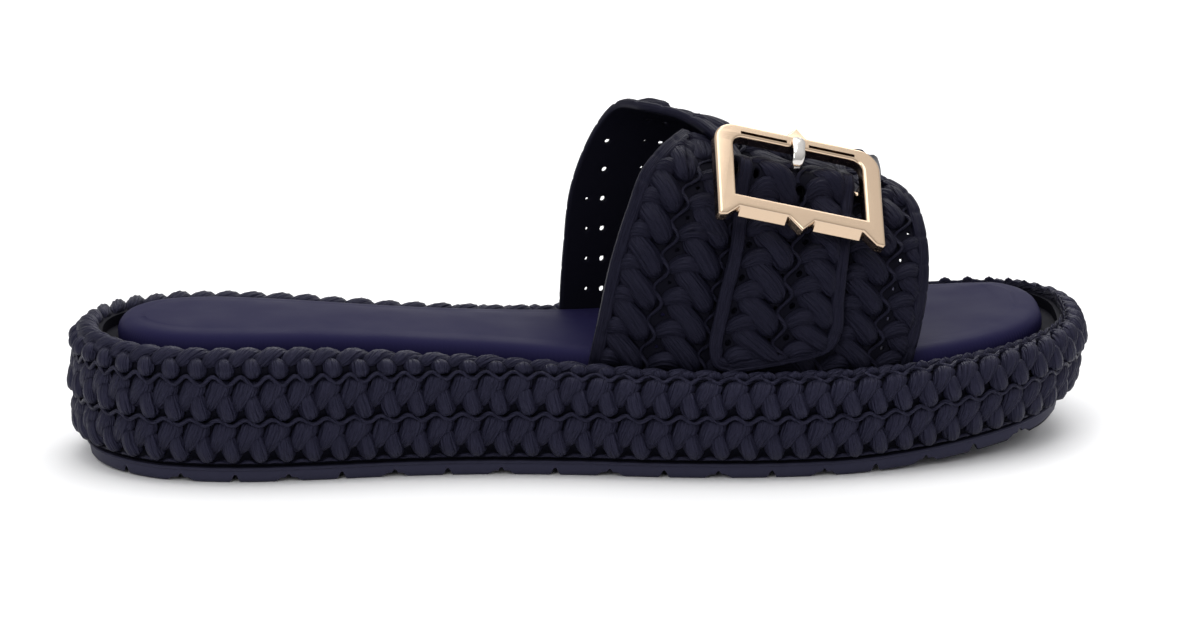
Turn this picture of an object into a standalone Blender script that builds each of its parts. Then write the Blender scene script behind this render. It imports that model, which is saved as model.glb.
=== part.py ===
"""A woven slide sandal for the right foot.

Tread, braided platform, padded insole, woven band with its strap, side panel and buckle.
Metres, +Z up, +X to the toe, +Y to the inner (medial) side of the foot.
"""

import math

import bmesh
import bpy
import numpy as np
from mathutils import Matrix, Vector

MM = 0.001

# Sole, seen from above
LENGTH = 272 * MM
BALL_WIDTH = 104 * MM
FIT_GAP = 0.3 * MM

# Platform side
STITCHES = 91
BRAID_PEAK = 0.8 * MM
BRAID_VALLEY = 0.7 * MM
SLOT_DEPTH = 4.0 * MM
SLOT_WIDTH = 4.2 * MM
SLOT_FLOOR_GAP = 0.45 * MM

# Tread
TREAD_THICK = 4.0 * MM
TREAD_PITCH = 28 * MM
TREAD_FIRST = 25.4 * MM
TREAD_COUNT = 9
NOTCH_DEPTH = 1.8 * MM
NOTCH_WIDTH = 1.5 * MM
WAVE_DEPTH = 1.0 * MM
WAVE_WIDTH = 6.0 * MM

# Upper walls
WALL = 1.6 * MM
RAISED = 1.4 * MM
BORDER = 3.5 * MM
STRAND_STEP = 3.7 * MM
GAP_SHARE = 0.3
APEX_ACROSS = 5 * MM
SHOULDER_INNER = 2.5
SHOULDER_OUTER = 2.6

# Strap over the side panel
STRAP_END = 0.978
STRAP_SLANT = 0.018
STRAP_LIFT = 2.8 * MM
BAR_LIFT = 4.6 * MM
BAR_REACH = 4.0 * MM
BAR_TILT = 0.07
STRAP_HOLE = 2.1 * MM
PLAIN_MARGIN = 6.0 * MM

# Buckle
FRAME_WIDTH = 45.6 * MM
FRAME_HEIGHT = 26.4 * MM
FRAME_THICK = 3.9 * MM
FRAME_LIFT = 7.45 * MM
FRAME_EDGE = 0.5 * MM
WINDOW_WIDTH = 36.4 * MM
WINDOW_HEIGHT = 18.2 * MM
CORNER_OUTER = 6 * MM
CORNER_INNER = 3 * MM
FRAME_POINT = 3.8 * MM
AXLE_UP = 3 * MM
AXLE_RADIUS = 0.8 * MM
AXLE_LIFT = 5.2 * MM
LUG = 3.2 * MM
PRONG_WIDTH = 3.2 * MM
EYE_WIDTH = 2.4 * MM
PRONG_THICK = 0.7 * MM
BUCKLE_ALONG = 0.683
BUCKLE_AROUND = 0.670
BUCKLE_FACES = (0.26, -0.62, 0.74)
BUCKLE_UP = (0.076, 0.781, 0.62)

# Outline of the sole: share of LENGTH, share of BALL_WIDTH
OUTLINE = (
    (0.000, 0.010),
    (0.003, 0.113),
    (0.013, 0.198),
    (0.033, 0.275),
    (0.063, 0.333),
    (0.103, 0.360),
    (0.147, 0.356),
    (0.206, 0.323),
    (0.287, 0.296),
    (0.382, 0.292),
    (0.478, 0.317),
    (0.588, 0.389),
    (0.699, 0.452),
    (0.801, 0.476),
    (0.875, 0.466),
    (0.926, 0.428),
    (0.963, 0.361),
    (0.987, 0.260),
    (0.999, 0.125),
    (0.997, 0.010),
    (0.989, -0.106),
    (0.967, -0.216),
    (0.929, -0.313),
    (0.875, -0.389),
    (0.809, -0.447),
    (0.728, -0.481),
    (0.647, -0.479),
    (0.559, -0.442),
    (0.471, -0.383),
    (0.382, -0.342),
    (0.301, -0.331),
    (0.221, -0.337),
    (0.154, -0.333),
    (0.103, -0.306),
    (0.059, -0.255),
    (0.026, -0.173),
    (0.007, -0.082),
)

# Heights along the sole in mm: share of LENGTH, underside, rim top, insole top
STATIONS = (
    (0.00, 0.5, 35.0, 38.6),
    (0.08, 0.0, 35.0, 38.8),
    (0.20, 0.0, 35.0, 38.8),
    (0.35, 0.0, 31.8, 35.8),
    (0.50, 0.0, 28.8, 32.8),
    (0.65, 0.0, 27.5, 31.6),
    (0.73, 0.0, 27.5, 31.7),
    (0.85, 2.0, 28.5, 32.4),
    (0.95, 5.0, 30.5, 34.0),
    (1.00, 7.0, 32.0, 35.4),
)

# Side wall of the platform: share of its height, inset at the heel and at the toe in mm,
# and which columns stand out (0 even, 1 odd, None for a plain line)
SIDE = (
    (0.00, 3.2, 5.6, None),
    (0.16, 1.0, 3.2, 1),
    (0.27, 0.3, 2.1, 0),
    (0.36, 0.2, 1.4, None),
    (0.46, 0.0, 0.8, 1),
    (0.58, 0.0, 0.3, 0),
    (0.67, 0.0, 0.1, None),
    (0.77, 0.0, 0.0, 1),
    (0.90, 0.3, 0.2, 0),
    (0.99, 2.6, 2.0, 1),
    (1.00, 4.7, 3.5, 0),
    (0.98, 6.4, 5.2, None),
)

# Rim width in mm along the sole: share of LENGTH, width
RIM = ((0.0, 7.4), (0.3, 8.0), (0.55, 7.6), (1.0, 6.3))

# Inner height of the upper above the slot in mm: share of LENGTH, height
ARCH = (
    (0.450, 67.0),
    (0.500, 66.0),
    (0.540, 65.0),
    (0.574, 63.2),
    (0.640, 57.0),
    (0.700, 51.6),
    (0.760, 48.4),
    (0.800, 46.6),
    (0.860, 41.5),
)

# Edges of the band and its strap: share of the girth, rear and front as shares of LENGTH
BAND_EDGES = (
    (0.000, 0.486, 0.812),
    (0.140, 0.491, 0.818),
    (0.260, 0.499, 0.818),
    (0.360, 0.520, 0.808),
    (0.430, 0.542, 0.797),
    (0.480, 0.562, 0.787),
    (0.520, 0.590, 0.775),
    (0.570, 0.616, 0.752),
    (0.620, 0.628, 0.740),
    (0.680, 0.629, 0.738),
    (0.760, 0.625, 0.737),
    (0.870, 0.610, 0.730),
    (0.945, 0.604, 0.724),
    (0.965, 0.606, 0.721),
    (0.978, 0.616, 0.711),
)

# Edges of the side panel: share of the girth, rear and front as shares of LENGTH
PANEL_EDGES = (
    (0.55, 0.588, 0.775),
    (0.57, 0.580, 0.785),
    (0.61, 0.562, 0.804),
    (0.65, 0.545, 0.814),
    (0.71, 0.530, 0.819),
    (0.80, 0.512, 0.819),
    (0.90, 0.499, 0.810),
    (1.00, 0.487, 0.796),
)


def smooth(table, at, column=1):
    """The value of a table's column at a place, along a smooth curve through its rows."""
    rows = np.array(table, dtype=float)
    knots = rows[:, 0]
    values = rows[:, column]
    slopes = np.gradient(values, knots)
    at = np.clip(np.asarray(at, dtype=float), knots[0], knots[-1])
    low = np.clip(np.searchsorted(knots, at, side="right") - 1, 0, len(knots) - 2)
    step = knots[low + 1] - knots[low]
    t = (at - knots[low]) / step
    start = values[low] * (1 + 2 * t) * (1 - t) ** 2 + slopes[low] * step * t * (1 - t) ** 2
    end = values[low + 1] * t * t * (3 - 2 * t) - slopes[low + 1] * step * t * t * (1 - t)
    return start + end


def clear_scene():
    for item in list(bpy.data.objects):
        bpy.data.objects.remove(item, do_unlink=True)
    for mesh in list(bpy.data.meshes):
        bpy.data.meshes.remove(mesh)


def collection(name, hidden):
    made = bpy.data.collections.new(name)
    bpy.context.scene.collection.children.link(made)
    made.hide_render = hidden
    return made


def object_from(name, points, faces, group):
    mesh = bpy.data.meshes.new(name)
    mesh.from_pydata([tuple(point) for point in points], [], faces)
    mesh.validate()
    made = bpy.data.objects.new(name, mesh)
    group.objects.link(made)
    return made


def tidy_mesh(item, merge=0.00001):
    work = bmesh.new()
    work.from_mesh(item.data)
    bmesh.ops.remove_doubles(work, verts=work.verts, dist=merge)
    bmesh.ops.dissolve_degenerate(work, dist=merge, edges=work.edges)
    bmesh.ops.recalc_face_normals(work, faces=work.faces)
    work.to_mesh(item.data)
    work.free()


def apply_modifiers(item):
    graph = bpy.context.evaluated_depsgraph_get()
    shaped = bpy.data.meshes.new_from_object(item.evaluated_get(graph))
    item.modifiers.clear()
    item.data = shaped


def outline_points(columns):
    """Points round the sole from the heel over the inner side, as many on each side, and inward normals."""
    knots = np.array(OUTLINE) * (LENGTH, BALL_WIDTH)
    before = np.roll(knots, 1, axis=0)
    after = np.roll(knots, -1, axis=0)
    span_in = np.linalg.norm(knots - before, axis=1)[:, None]
    span_out = np.linalg.norm(after - knots, axis=1)[:, None]
    arriving = (knots - before) / span_in
    leaving = (after - knots) / span_out
    tangent = (arriving * span_out + leaving * span_in) / (span_in + span_out)
    dense = []
    for row in range(len(knots)):
        other = (row + 1) % len(knots)
        span = span_out[row]
        for t in np.linspace(0, 1, 40, endpoint=False):
            start = knots[row] * (1 + 2 * t) * (1 - t) ** 2 + tangent[row] * span * t * (1 - t) ** 2
            end = knots[other] * t * t * (3 - 2 * t) - tangent[other] * span * t * t * (1 - t)
            dense.append(start + end)
    dense = np.array(dense + dense[:1])
    run = np.concatenate([[0], np.cumsum(np.linalg.norm(np.diff(dense, axis=0), axis=1))])
    tip = run[np.argmax(dense[:, 0])]
    half = columns // 2
    places = np.concatenate(
        [np.linspace(0, tip, half, endpoint=False), np.linspace(tip, run[-1], half, endpoint=False)]
    )
    points = np.stack([np.interp(places, run, dense[:, 0]), np.interp(places, run, dense[:, 1])], axis=1)
    along = np.roll(points, -1, axis=0) - np.roll(points, 1, axis=0)
    along /= np.linalg.norm(along, axis=1)[:, None]
    inward = np.stack([along[:, 1], -along[:, 0]], axis=1)
    return points, inward


def sole_ring(columns, inset, height):
    """One closed ring of points: inset and height hold a value for each column."""
    points, inward = outline_points(columns)
    flat = points + inward * np.broadcast_to(inset, columns)[:, None]
    return np.column_stack([flat, np.broadcast_to(height, columns)])


def along_sole(columns):
    points, _ = outline_points(columns)
    return points[:, 0] / LENGTH


def ring_body(name, rings, group, lean=False):
    """A closed body through rings from the underside to the top, closed at both ends by strips across."""
    columns = len(rings[0])
    points = np.concatenate(rings)
    faces = []
    for ring in range(len(rings) - 1):
        for i in range(columns):
            j = (i + 1) % columns
            low_i = ring * columns + i
            low_j = ring * columns + j
            high_i = low_i + columns
            high_j = low_j + columns
            if lean:
                faces.append((low_i, low_j, high_j))
                faces.append((low_i, high_j, high_i))
            else:
                faces.append((low_i, low_j, high_j, high_i))
    half = columns // 2
    top = (len(rings) - 1) * columns
    for i in range(half):
        far = (columns - i) % columns
        far_next = columns - i - 1
        strip = [i, i + 1, far_next, far]
        strip = list(dict.fromkeys(strip))
        faces.append(tuple(strip))
        faces.append(tuple(top + k for k in reversed(strip)))
    made = object_from(name, points, faces, group)
    tidy_mesh(made)
    return made


def underside(share):
    """Height of the tread's underside: flat from the heel to the ball, then up to the toe."""
    return np.maximum(smooth(STATIONS, share, 1), 0.0) * MM


def heights(columns):
    share = along_sole(columns)
    ground = underside(share)
    rim = smooth(STATIONS, share, 2) * MM
    insole = smooth(STATIONS, share, 3) * MM
    width = smooth(RIM, share) * MM
    return share, ground, rim, insole, width


def make_midsole(group):
    columns = 2 * STITCHES
    share, ground, rim, _, width = heights(columns)
    toward_toe = np.clip((share - 0.35) / 0.65, 0, 1) ** 1.5
    base = ground + TREAD_THICK + FIT_GAP
    parity = np.arange(columns) % 2
    rings = []
    for up, heel, toe, proud in SIDE:
        inset = (heel * (1 - toward_toe) + toe * toward_toe) * MM
        if proud is not None:
            inset = inset - np.where(parity == proud, BRAID_PEAK, -BRAID_VALLEY)
        rings.append(sole_ring(columns, inset, base + up * (rim - base)))
    rings.append(sole_ring(columns, width, rim - 0.3 * SLOT_DEPTH))
    rings.append(sole_ring(columns, width, rim - SLOT_DEPTH))
    return ring_body("midsole", rings, group, lean=True)


def make_outsole(group, cutters):
    columns = 90
    share, ground, rim, _, _ = heights(columns)
    toward_toe = np.clip((share - 0.35) / 0.65, 0, 1) ** 1.5
    top_inset = 3.4 * MM + 2.4 * MM * toward_toe
    rings = (
        sole_ring(columns, top_inset + 2.8 * MM, ground),
        sole_ring(columns, top_inset + 1.2 * MM, ground + 0.3 * TREAD_THICK),
        sole_ring(columns, top_inset + 0.2 * MM, ground + 0.75 * TREAD_THICK),
        sole_ring(columns, top_inset, ground + TREAD_THICK),
    )
    made = ring_body("outsole", rings, group)
    cutter = tread_cutter(cutters)
    cut(made, cutter)
    return made


def tread_cutter(cutters):
    """Bars across the sole, each wider notch followed by a narrow one."""
    points = []
    faces = []
    reach = 0.6 * BALL_WIDTH
    for step in range(2 * TREAD_COUNT):
        x = TREAD_FIRST + 0.5 * TREAD_PITCH * step
        wide = step % 2 == 0
        width = WAVE_WIDTH if wide else NOTCH_WIDTH
        depth = WAVE_DEPTH if wide else NOTCH_DEPTH
        roof = 0.75 if wide else 0.3
        ground = float(underside(x / LENGTH))
        section = (
            (-0.5 * width, -2 * MM),
            (0.5 * width, -2 * MM),
            (0.5 * width, 0.05 * MM),
            (0.5 * roof * width, depth),
            (-0.5 * roof * width, depth),
            (-0.5 * width, 0.05 * MM),
        )
        first = len(points)
        for y in (-reach, reach):
            for across, up in section:
                points.append((x + across, y, ground + up))
        sides = len(section)
        for k in range(sides):
            after = (k + 1) % sides
            faces.append((first + k, first + sides + k, first + sides + after, first + after))
        faces.append(tuple(first + k for k in range(sides)))
        faces.append(tuple(first + 2 * sides - 1 - k for k in range(sides)))
    made = object_from("tread_cutter", points, faces, cutters)
    tidy_mesh(made)
    return as_cutter(made)


def as_cutter(item):
    item.hide_render = True
    item.display_type = "WIRE"
    return item


def cut(item, cutter):
    boolean = item.modifiers.new("cut", "BOOLEAN")
    boolean.object = cutter
    boolean.operation = "DIFFERENCE"
    boolean.solver = "EXACT"
    apply_modifiers(item)


def make_insole(group):
    columns = 90
    _, _, rim, top, width = heights(columns)
    edge = width + SLOT_WIDTH
    floor = rim - SLOT_DEPTH + FIT_GAP
    brow = top - 1.3 * MM
    rings = (
        sole_ring(columns, edge + 0.8 * MM, floor),
        sole_ring(columns, edge, floor + 0.9 * MM),
        sole_ring(columns, edge, brow - 2.2 * MM),
        sole_ring(columns, edge + 0.8 * MM, brow - 0.8 * MM),
        sole_ring(columns, edge + 2.8 * MM, brow),
        sole_ring(columns, edge + 10 * MM, top),
    )
    return ring_body("insole", rings, group)


class Last:
    """The inner surface of the upper, from the inner side's slot over the instep to the outer side's."""

    def __init__(self):
        columns = 400
        share, _, _, _, width = heights(columns)
        foot = sole_ring(columns, width + SLOT_WIDTH - FIT_GAP, 0.0)
        half = columns // 2
        self.inner_side = foot[:half]
        self.outer_side = foot[half:][::-1]

    def section(self, x):
        share = x / LENGTH
        inner = np.interp(x, self.inner_side[:, 0], self.inner_side[:, 1])
        outer = np.interp(x, self.outer_side[:, 0], self.outer_side[:, 1])
        base = float(smooth(STATIONS, share, 2)) * MM - SLOT_DEPTH + SLOT_FLOOR_GAP
        high = float(smooth(ARCH, share)) * MM
        turn = np.linspace(0, 0.5 * math.pi, 60)
        points = []
        for angle in turn:
            y = APEX_ACROSS + (inner - APEX_ACROSS) * math.cos(angle) ** (2 / SHOULDER_INNER)
            z = base + high * math.sin(angle) ** (2 / SHOULDER_INNER)
            points.append((y, z))
        for angle in turn[::-1][1:]:
            y = APEX_ACROSS + (outer - APEX_ACROSS) * math.cos(angle) ** (2 / SHOULDER_OUTER)
            z = base + high * math.sin(angle) ** (2 / SHOULDER_OUTER)
            points.append((y, z))
        points = np.array(points)
        run = np.concatenate([[0], np.cumsum(np.linalg.norm(np.diff(points, axis=0), axis=1))])
        return points, run

    def on(self, x, around):
        points, run = self.section(x)
        place = around * run[-1]
        return np.array([x, np.interp(place, run, points[:, 0]), np.interp(place, run, points[:, 1])])

    def normal(self, x, around):
        low = max(around - 0.02, 0.0)
        high = min(around + 0.02, 1.0)
        along = self.on(x + MM, around) - self.on(x - MM, around)
        over = self.on(x, high) - self.on(x, low)
        out = np.cross(over, along)
        return out / np.linalg.norm(out)

    def point(self, x, around, lift):
        return self.on(x, around) + self.normal(x, around) * lift


def woven_sheet(name, last, table, lift_at, plain_at, rows, slant, group):
    """A wall with raised strips: braids run along the rear edge, and a small gap opens beside each cord."""
    start = table[0][0]
    end = table[-1][0]
    widest = max(front - rear for _, rear, front in table) * LENGTH
    strands = int(widest / STRAND_STEP) + 2
    points = []
    weights = []
    for j in range(rows + 1):
        around = start + (end - start) * j / rows
        rear = float(smooth(table, around, 1)) * LENGTH
        front = float(smooth(table, around, 2)) * LENGTH
        width = front - rear
        places = [0.0, BORDER]
        places += [BORDER + STRAND_STEP * k for k in range(1, strands)]
        for k, place in enumerate(places):
            clamped = k > 1 and place > width - BORDER - 0.35 * STRAND_STEP
            across = width - BORDER if clamped else place
            x = rear + across
            turned = around - slant * j / rows * across / width
            points.append(last.point(x, turned, lift_at(x, turned)))
            phase = (k - 1) % 4
            proud = {0: 0.15, 1: j % 2 == 0, 2: j % 2 == 0, 3: j % 2 == 1}[phase]
            if k < 2 or clamped or j in (0, rows):
                proud = 0.9
            weights.append((WALL + RAISED * float(proud) * (1 - plain_at(x, around))) / (WALL + RAISED))
        turned = around - slant * j / rows
        points.append(last.point(front, turned, lift_at(front, turned)))
        weights.append((WALL + 0.9 * RAISED * (1 - plain_at(front, around))) / (WALL + RAISED))
    columns = strands + 2
    work = bmesh.new()
    layer = work.verts.layers.deform.new()
    made = []
    seen = {}
    for point, weight in zip(points, weights):
        key = tuple(np.round(point * 1e7).astype(int))
        if key not in seen:
            vertex = work.verts.new(tuple(point))
            vertex[layer][0] = weight
            seen[key] = vertex
        made.append(seen[key])
    gaps = []
    for j in range(rows):
        for k in range(columns - 1):
            low = j * columns + k
            high = low + columns
            ring = list(dict.fromkeys((made[low], made[low + 1], made[high + 1], made[high])))
            if len(ring) < 3:
                continue
            gap = len(ring) == 4 and k > 2 and k % 4 == 0 and j % 2 == 1 and 0 < j < rows - 1
            if gap:
                middle = sum((corner.co for corner in ring), Vector()) / 4
                gap = plain_at(middle.x, start + (end - start) * (j + 0.5) / rows) < 0.5
            if len(ring) == 4 and not gap:
                work.faces.new((ring[0], ring[1], ring[3]))
                work.faces.new((ring[1], ring[2], ring[3]))
            else:
                face = work.faces.new(ring)
                if gap:
                    gaps.append(face)
    open_gaps(work, gaps)
    bmesh.ops.recalc_face_normals(work, faces=work.faces)
    middle = max(work.faces, key=lambda face: face.calc_center_median().z)
    if middle.normal.z < 0:
        bmesh.ops.reverse_faces(work, faces=work.faces)
    mesh = bpy.data.meshes.new(name)
    work.to_mesh(mesh)
    work.free()
    item = bpy.data.objects.new(name, mesh)
    group.objects.link(item)
    item.vertex_groups.new(name="thickness")
    solid = item.modifiers.new("wall", "SOLIDIFY")
    solid.thickness = WALL + RAISED
    solid.offset = 1.0
    solid.vertex_group = "thickness"
    solid.use_even_offset = False
    apply_modifiers(item)
    item.vertex_groups.clear()
    tidy_mesh(item)
    return item


def open_gaps(work, faces):
    """Each marked cell is inset and its middle taken out."""
    size = GAP_SHARE * STRAND_STEP
    for face in faces:
        bmesh.ops.inset_individual(work, faces=[face], thickness=size, use_even_offset=True)
    bmesh.ops.delete(work, geom=faces, context="FACES_ONLY")


def buckle_axes(last):
    """Place and axes of the buckle on the last: along the foot, up the strap, outwards."""
    centre = Vector(last.on(BUCKLE_ALONG * LENGTH, BUCKLE_AROUND))
    outward = Vector(BUCKLE_FACES).normalized()
    up = Vector(BUCKLE_UP)
    up = (up - outward * up.dot(outward)).normalized()
    along = up.cross(outward)
    place = Matrix((along, up, outward)).transposed().to_4x4()
    place.translation = centre
    return place


def corner_arc(cx, cy, radius, start, steps=4):
    arc = []
    for k in range(steps + 1):
        angle = math.radians(start + 90 * k / steps)
        arc.append((cx + radius * math.cos(angle), cy + radius * math.sin(angle)))
    return arc


def frame_outline():
    half = 0.5 * FRAME_WIDTH
    top = 0.5 * FRAME_HEIGHT
    inset = 6 * MM
    points = corner_arc(half - CORNER_OUTER, top - CORNER_OUTER, CORNER_OUTER, 0)
    points += [(0.75 * FRAME_POINT, top), (0, top + 0.8 * FRAME_POINT), (-0.75 * FRAME_POINT, top)]
    points += corner_arc(-half + CORNER_OUTER, top - CORNER_OUTER, CORNER_OUTER, 90)
    points += [(-half, -top - FRAME_POINT + 0.6 * MM), (-half + 0.4 * MM, -top - FRAME_POINT)]
    points += [(-half + 1.2 * MM, -top - FRAME_POINT), (-half + inset, -top), (-0.95 * FRAME_POINT, -top)]
    points += [(0, -top - FRAME_POINT), (0.95 * FRAME_POINT, -top), (half - inset, -top)]
    points += [(half - 1.2 * MM, -top - FRAME_POINT), (half - 0.4 * MM, -top - FRAME_POINT)]
    points += [(half, -top - FRAME_POINT + 0.6 * MM)]
    return points


def window_outline():
    half = 0.5 * WINDOW_WIDTH
    top = 0.5 * WINDOW_HEIGHT
    points = corner_arc(half - CORNER_INNER, top - CORNER_INNER, CORNER_INNER, 0)
    points += corner_arc(-half + CORNER_INNER, top - CORNER_INNER, CORNER_INNER, 90)
    points += [(-half, -top), (half, -top)]
    return points


def filled_curve(name, outlines, extrude, bevel, group):
    """A flat shape with holes, given depth and a rounded edge."""
    curve = bpy.data.curves.new(name, "CURVE")
    curve.dimensions = "2D"
    curve.fill_mode = "BOTH"
    curve.extrude = extrude
    curve.bevel_depth = bevel
    curve.bevel_resolution = 1
    for outline in outlines:
        spline = curve.splines.new("POLY")
        spline.points.add(len(outline) - 1)
        spline.use_cyclic_u = True
        for point, (x, y) in zip(spline.points, outline):
            point.co = (x, y, 0, 1)
    return curve_to_mesh(name, curve, group)


def curve_to_mesh(name, curve, group):
    helper = bpy.data.objects.new(name + "_curve", curve)
    bpy.context.scene.collection.objects.link(helper)
    graph = bpy.context.evaluated_depsgraph_get()
    mesh = bpy.data.meshes.new_from_object(helper.evaluated_get(graph))
    bpy.data.objects.remove(helper, do_unlink=True)
    mesh.name = name
    item = bpy.data.objects.new(name, mesh)
    group.objects.link(item)
    tidy_mesh(item)
    return item


def make_frame(group, cutters, place):
    outlines = [frame_outline(), window_outline()]
    frame = filled_curve("buckle_frame", outlines, 0.5 * FRAME_THICK - FRAME_EDGE, FRAME_EDGE, group)
    frame.data.transform(Matrix.Translation((0, 0, FRAME_LIFT + 0.5 * FRAME_THICK)))
    axle = rod("axle", AXLE_RADIUS, WINDOW_WIDTH + 5 * MM, 12, cutters)
    axle.data.transform(Matrix.Rotation(0.5 * math.pi, 4, "Y"))
    axle.data.transform(Matrix.Translation((0, AXLE_UP, AXLE_LIFT)))
    join(frame, axle)
    top = FRAME_LIFT + 0.8 * MM
    bottom = AXLE_LIFT - AXLE_RADIUS - 0.1 * MM
    for side in (-1, 1):
        lug = block("lug", (LUG, LUG, top - bottom), cutters)
        middle = side * (0.5 * WINDOW_WIDTH + 0.5 * LUG + 0.5 * MM)
        lug.data.transform(Matrix.Translation((middle, AXLE_UP, 0.5 * (top + bottom))))
        join(frame, lug)
    frame.data.transform(place)
    return frame


def join(item, other):
    joined = item.modifiers.new("join", "BOOLEAN")
    joined.object = other
    joined.operation = "UNION"
    joined.solver = "EXACT"
    apply_modifiers(item)


def block(name, sides, cutters):
    mesh = bpy.data.meshes.new(name)
    work = bmesh.new()
    bmesh.ops.create_cube(work, size=1.0)
    bmesh.ops.scale(work, vec=sides, verts=work.verts)
    work.to_mesh(mesh)
    work.free()
    item = bpy.data.objects.new(name, mesh)
    cutters.objects.link(item)
    return as_cutter(item)


def rod(name, radius, length, sides, cutters):
    mesh = bpy.data.meshes.new(name)
    work = bmesh.new()
    bmesh.ops.create_cone(work, cap_ends=True, segments=sides, radius1=radius, radius2=radius, depth=length)
    work.to_mesh(mesh)
    work.free()
    item = bpy.data.objects.new(name, mesh)
    cutters.objects.link(item)
    return as_cutter(item)


def make_prong(group, place):
    """A flat tongue: an open eye under the axle, up through the strap and over the top bar."""
    reach = AXLE_RADIUS + FIT_GAP + 0.5 * PRONG_THICK
    path = []
    for angle in (200, 235, 270, 305, 340):
        turn = math.radians(angle)
        path.append((AXLE_UP + reach * math.cos(turn), AXLE_LIFT + reach * math.sin(turn), EYE_WIDTH))
    over = FRAME_LIFT + FRAME_THICK + FIT_GAP + 0.5 * PRONG_THICK
    path.append((AXLE_UP + 1.8 * MM, over - 3.2 * MM, EYE_WIDTH))
    path.append((AXLE_UP + 2.8 * MM, over - 1.2 * MM, EYE_WIDTH))
    path.append((AXLE_UP + 4.4 * MM, over - 0.2 * MM, PRONG_WIDTH))
    path.append((AXLE_UP + 6.0 * MM, over, PRONG_WIDTH))
    path.append((0.5 * FRAME_HEIGHT - 1.4 * MM, over, 0.7 * PRONG_WIDTH))
    section = ((-0.5, -0.5), (0.5, -0.5), (0.5, 0.2), (0.3, 0.5), (-0.3, 0.5), (-0.5, 0.2))
    points = []
    count = len(path)
    for k in range(count):
        before = path[max(k - 1, 0)]
        after = path[min(k + 1, count - 1)]
        run = np.array([after[0] - before[0], after[1] - before[1]])
        run /= np.linalg.norm(run)
        side = np.array([-run[1], run[0]])
        for across, through in section:
            up = path[k][0] + side[0] * through * PRONG_THICK
            out = path[k][1] + side[1] * through * PRONG_THICK
            points.append((across * path[k][2], up, out))
    faces = []
    sides = len(section)
    for k in range(count - 1):
        for s in range(sides):
            after = (s + 1) % sides
            faces.append((k * sides + s, k * sides + after, (k + 1) * sides + after, (k + 1) * sides + s))
    faces.append(tuple(reversed(range(sides))))
    faces.append(tuple((count - 1) * sides + s for s in range(sides)))
    item = object_from("buckle_prong", points, faces, group)
    tidy_mesh(item)
    item.data.transform(place)
    return item


def make_band(last, group, cutters, place):
    girth = last.section(BUCKLE_ALONG * LENGTH)[1][-1]
    axle_around = BUCKLE_AROUND - AXLE_UP / girth

    def lift_at(x, around):
        rise = np.clip((around - 0.44) / 0.10, 0, 1)
        lift = STRAP_LIFT * rise * rise * (3 - 2 * rise)
        away = (around - axle_around) * girth / BAR_REACH
        over_bar = BAR_LIFT - BAR_TILT * (x - BUCKLE_ALONG * LENGTH)
        return lift + over_bar * math.exp(-away * away)

    def plain_at(x, around):
        away = abs(around - axle_around) * girth
        return 0.45 if away < 2.6 * BAR_REACH else 0.0

    band = woven_sheet("band_strap", last, BAND_EDGES, lift_at, plain_at, 44, STRAP_SLANT, group)
    for k, up in enumerate((AXLE_UP + 2.8 * MM, AXLE_UP - 4.4 * MM)):
        hole = rod("strap_hole_" + str(k), STRAP_HOLE, 14 * MM, 12, cutters)
        hole.data.transform(place @ Matrix.Translation((0, up, 5 * MM)))
        cut(band, hole)
    return band


def make_panel(last, group):
    def lift_at(x, around):
        return 0.0

    def plain_at(x, around):
        rear = float(smooth(BAND_EDGES, around, 1)) * LENGTH - PLAIN_MARGIN
        front = float(smooth(BAND_EDGES, around, 2)) * LENGTH + PLAIN_MARGIN
        return 1.0 if rear < x < front and around < STRAP_END else 0.0

    return woven_sheet("side_panel", last, PANEL_EDGES, lift_at, plain_at, 20, 0.0, group)


def painted(item, name, colour, metallic, roughness):
    material = bpy.data.materials.new(name)
    material.use_nodes = True
    shader = material.node_tree.nodes["Principled BSDF"]
    shader.inputs["Base Color"].default_value = (*colour, 1.0)
    shader.inputs["Metallic"].default_value = metallic
    shader.inputs["Roughness"].default_value = roughness
    item.data.materials.clear()
    item.data.materials.append(material)


def rest_on_origin(items):
    """Moves all pieces so that the middle of the underside of their common box is the origin."""
    corners = np.array([tuple(vertex.co) for item in items for vertex in item.data.vertices])
    low = corners.min(axis=0)
    high = corners.max(axis=0)
    shift = Matrix.Translation((-0.5 * (low[0] + high[0]), -0.5 * (low[1] + high[1]), -low[2]))
    for item in items:
        item.data.transform(shift)


def main():
    clear_scene()
    group = collection("woven_slide_sandal", False)
    cutters = collection("cutters", True)
    last = Last()
    place = buckle_axes(last)
    outsole = make_outsole(group, cutters)
    midsole = make_midsole(group)
    insole = make_insole(group)
    band = make_band(last, group, cutters, place)
    panel = make_panel(last, group)
    frame = make_frame(group, cutters, place)
    prong = make_prong(group, place)
    painted(outsole, "tread_rubber", (0.012, 0.012, 0.018), 0.0, 0.6)
    painted(midsole, "platform_foam", (0.013, 0.013, 0.022), 0.0, 0.55)
    painted(insole, "insole_foam", (0.040, 0.036, 0.066), 0.0, 0.7)
    painted(band, "band_rubber", (0.013, 0.012, 0.021), 0.0, 0.5)
    painted(panel, "panel_rubber", (0.013, 0.012, 0.021), 0.0, 0.5)
    painted(frame, "frame_metal", (0.72, 0.52, 0.34), 1.0, 0.15)
    painted(prong, "prong_metal", (0.72, 0.70, 0.70), 1.0, 0.15)
    rest_on_origin([outsole, midsole, insole, band, panel, frame, prong])


main()
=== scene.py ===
# %% [markdown]
# # A woven slide sandal in Blender
#
# This lesson dresses the plain solids of a slide sandal. The real one is moulded from soft
# foam rubber, and its mould copies hand-plaited raffia: a braid runs three rows high round the
# platform, and wider plaits make the band over the foot. The only metal is the buckle.
#
# The solids are loaded first, as a fixed frame. Each new piece is laid on the same surfaces.

import math

import bmesh
import bpy
import numpy as np
from mathutils import Matrix, Vector


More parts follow.
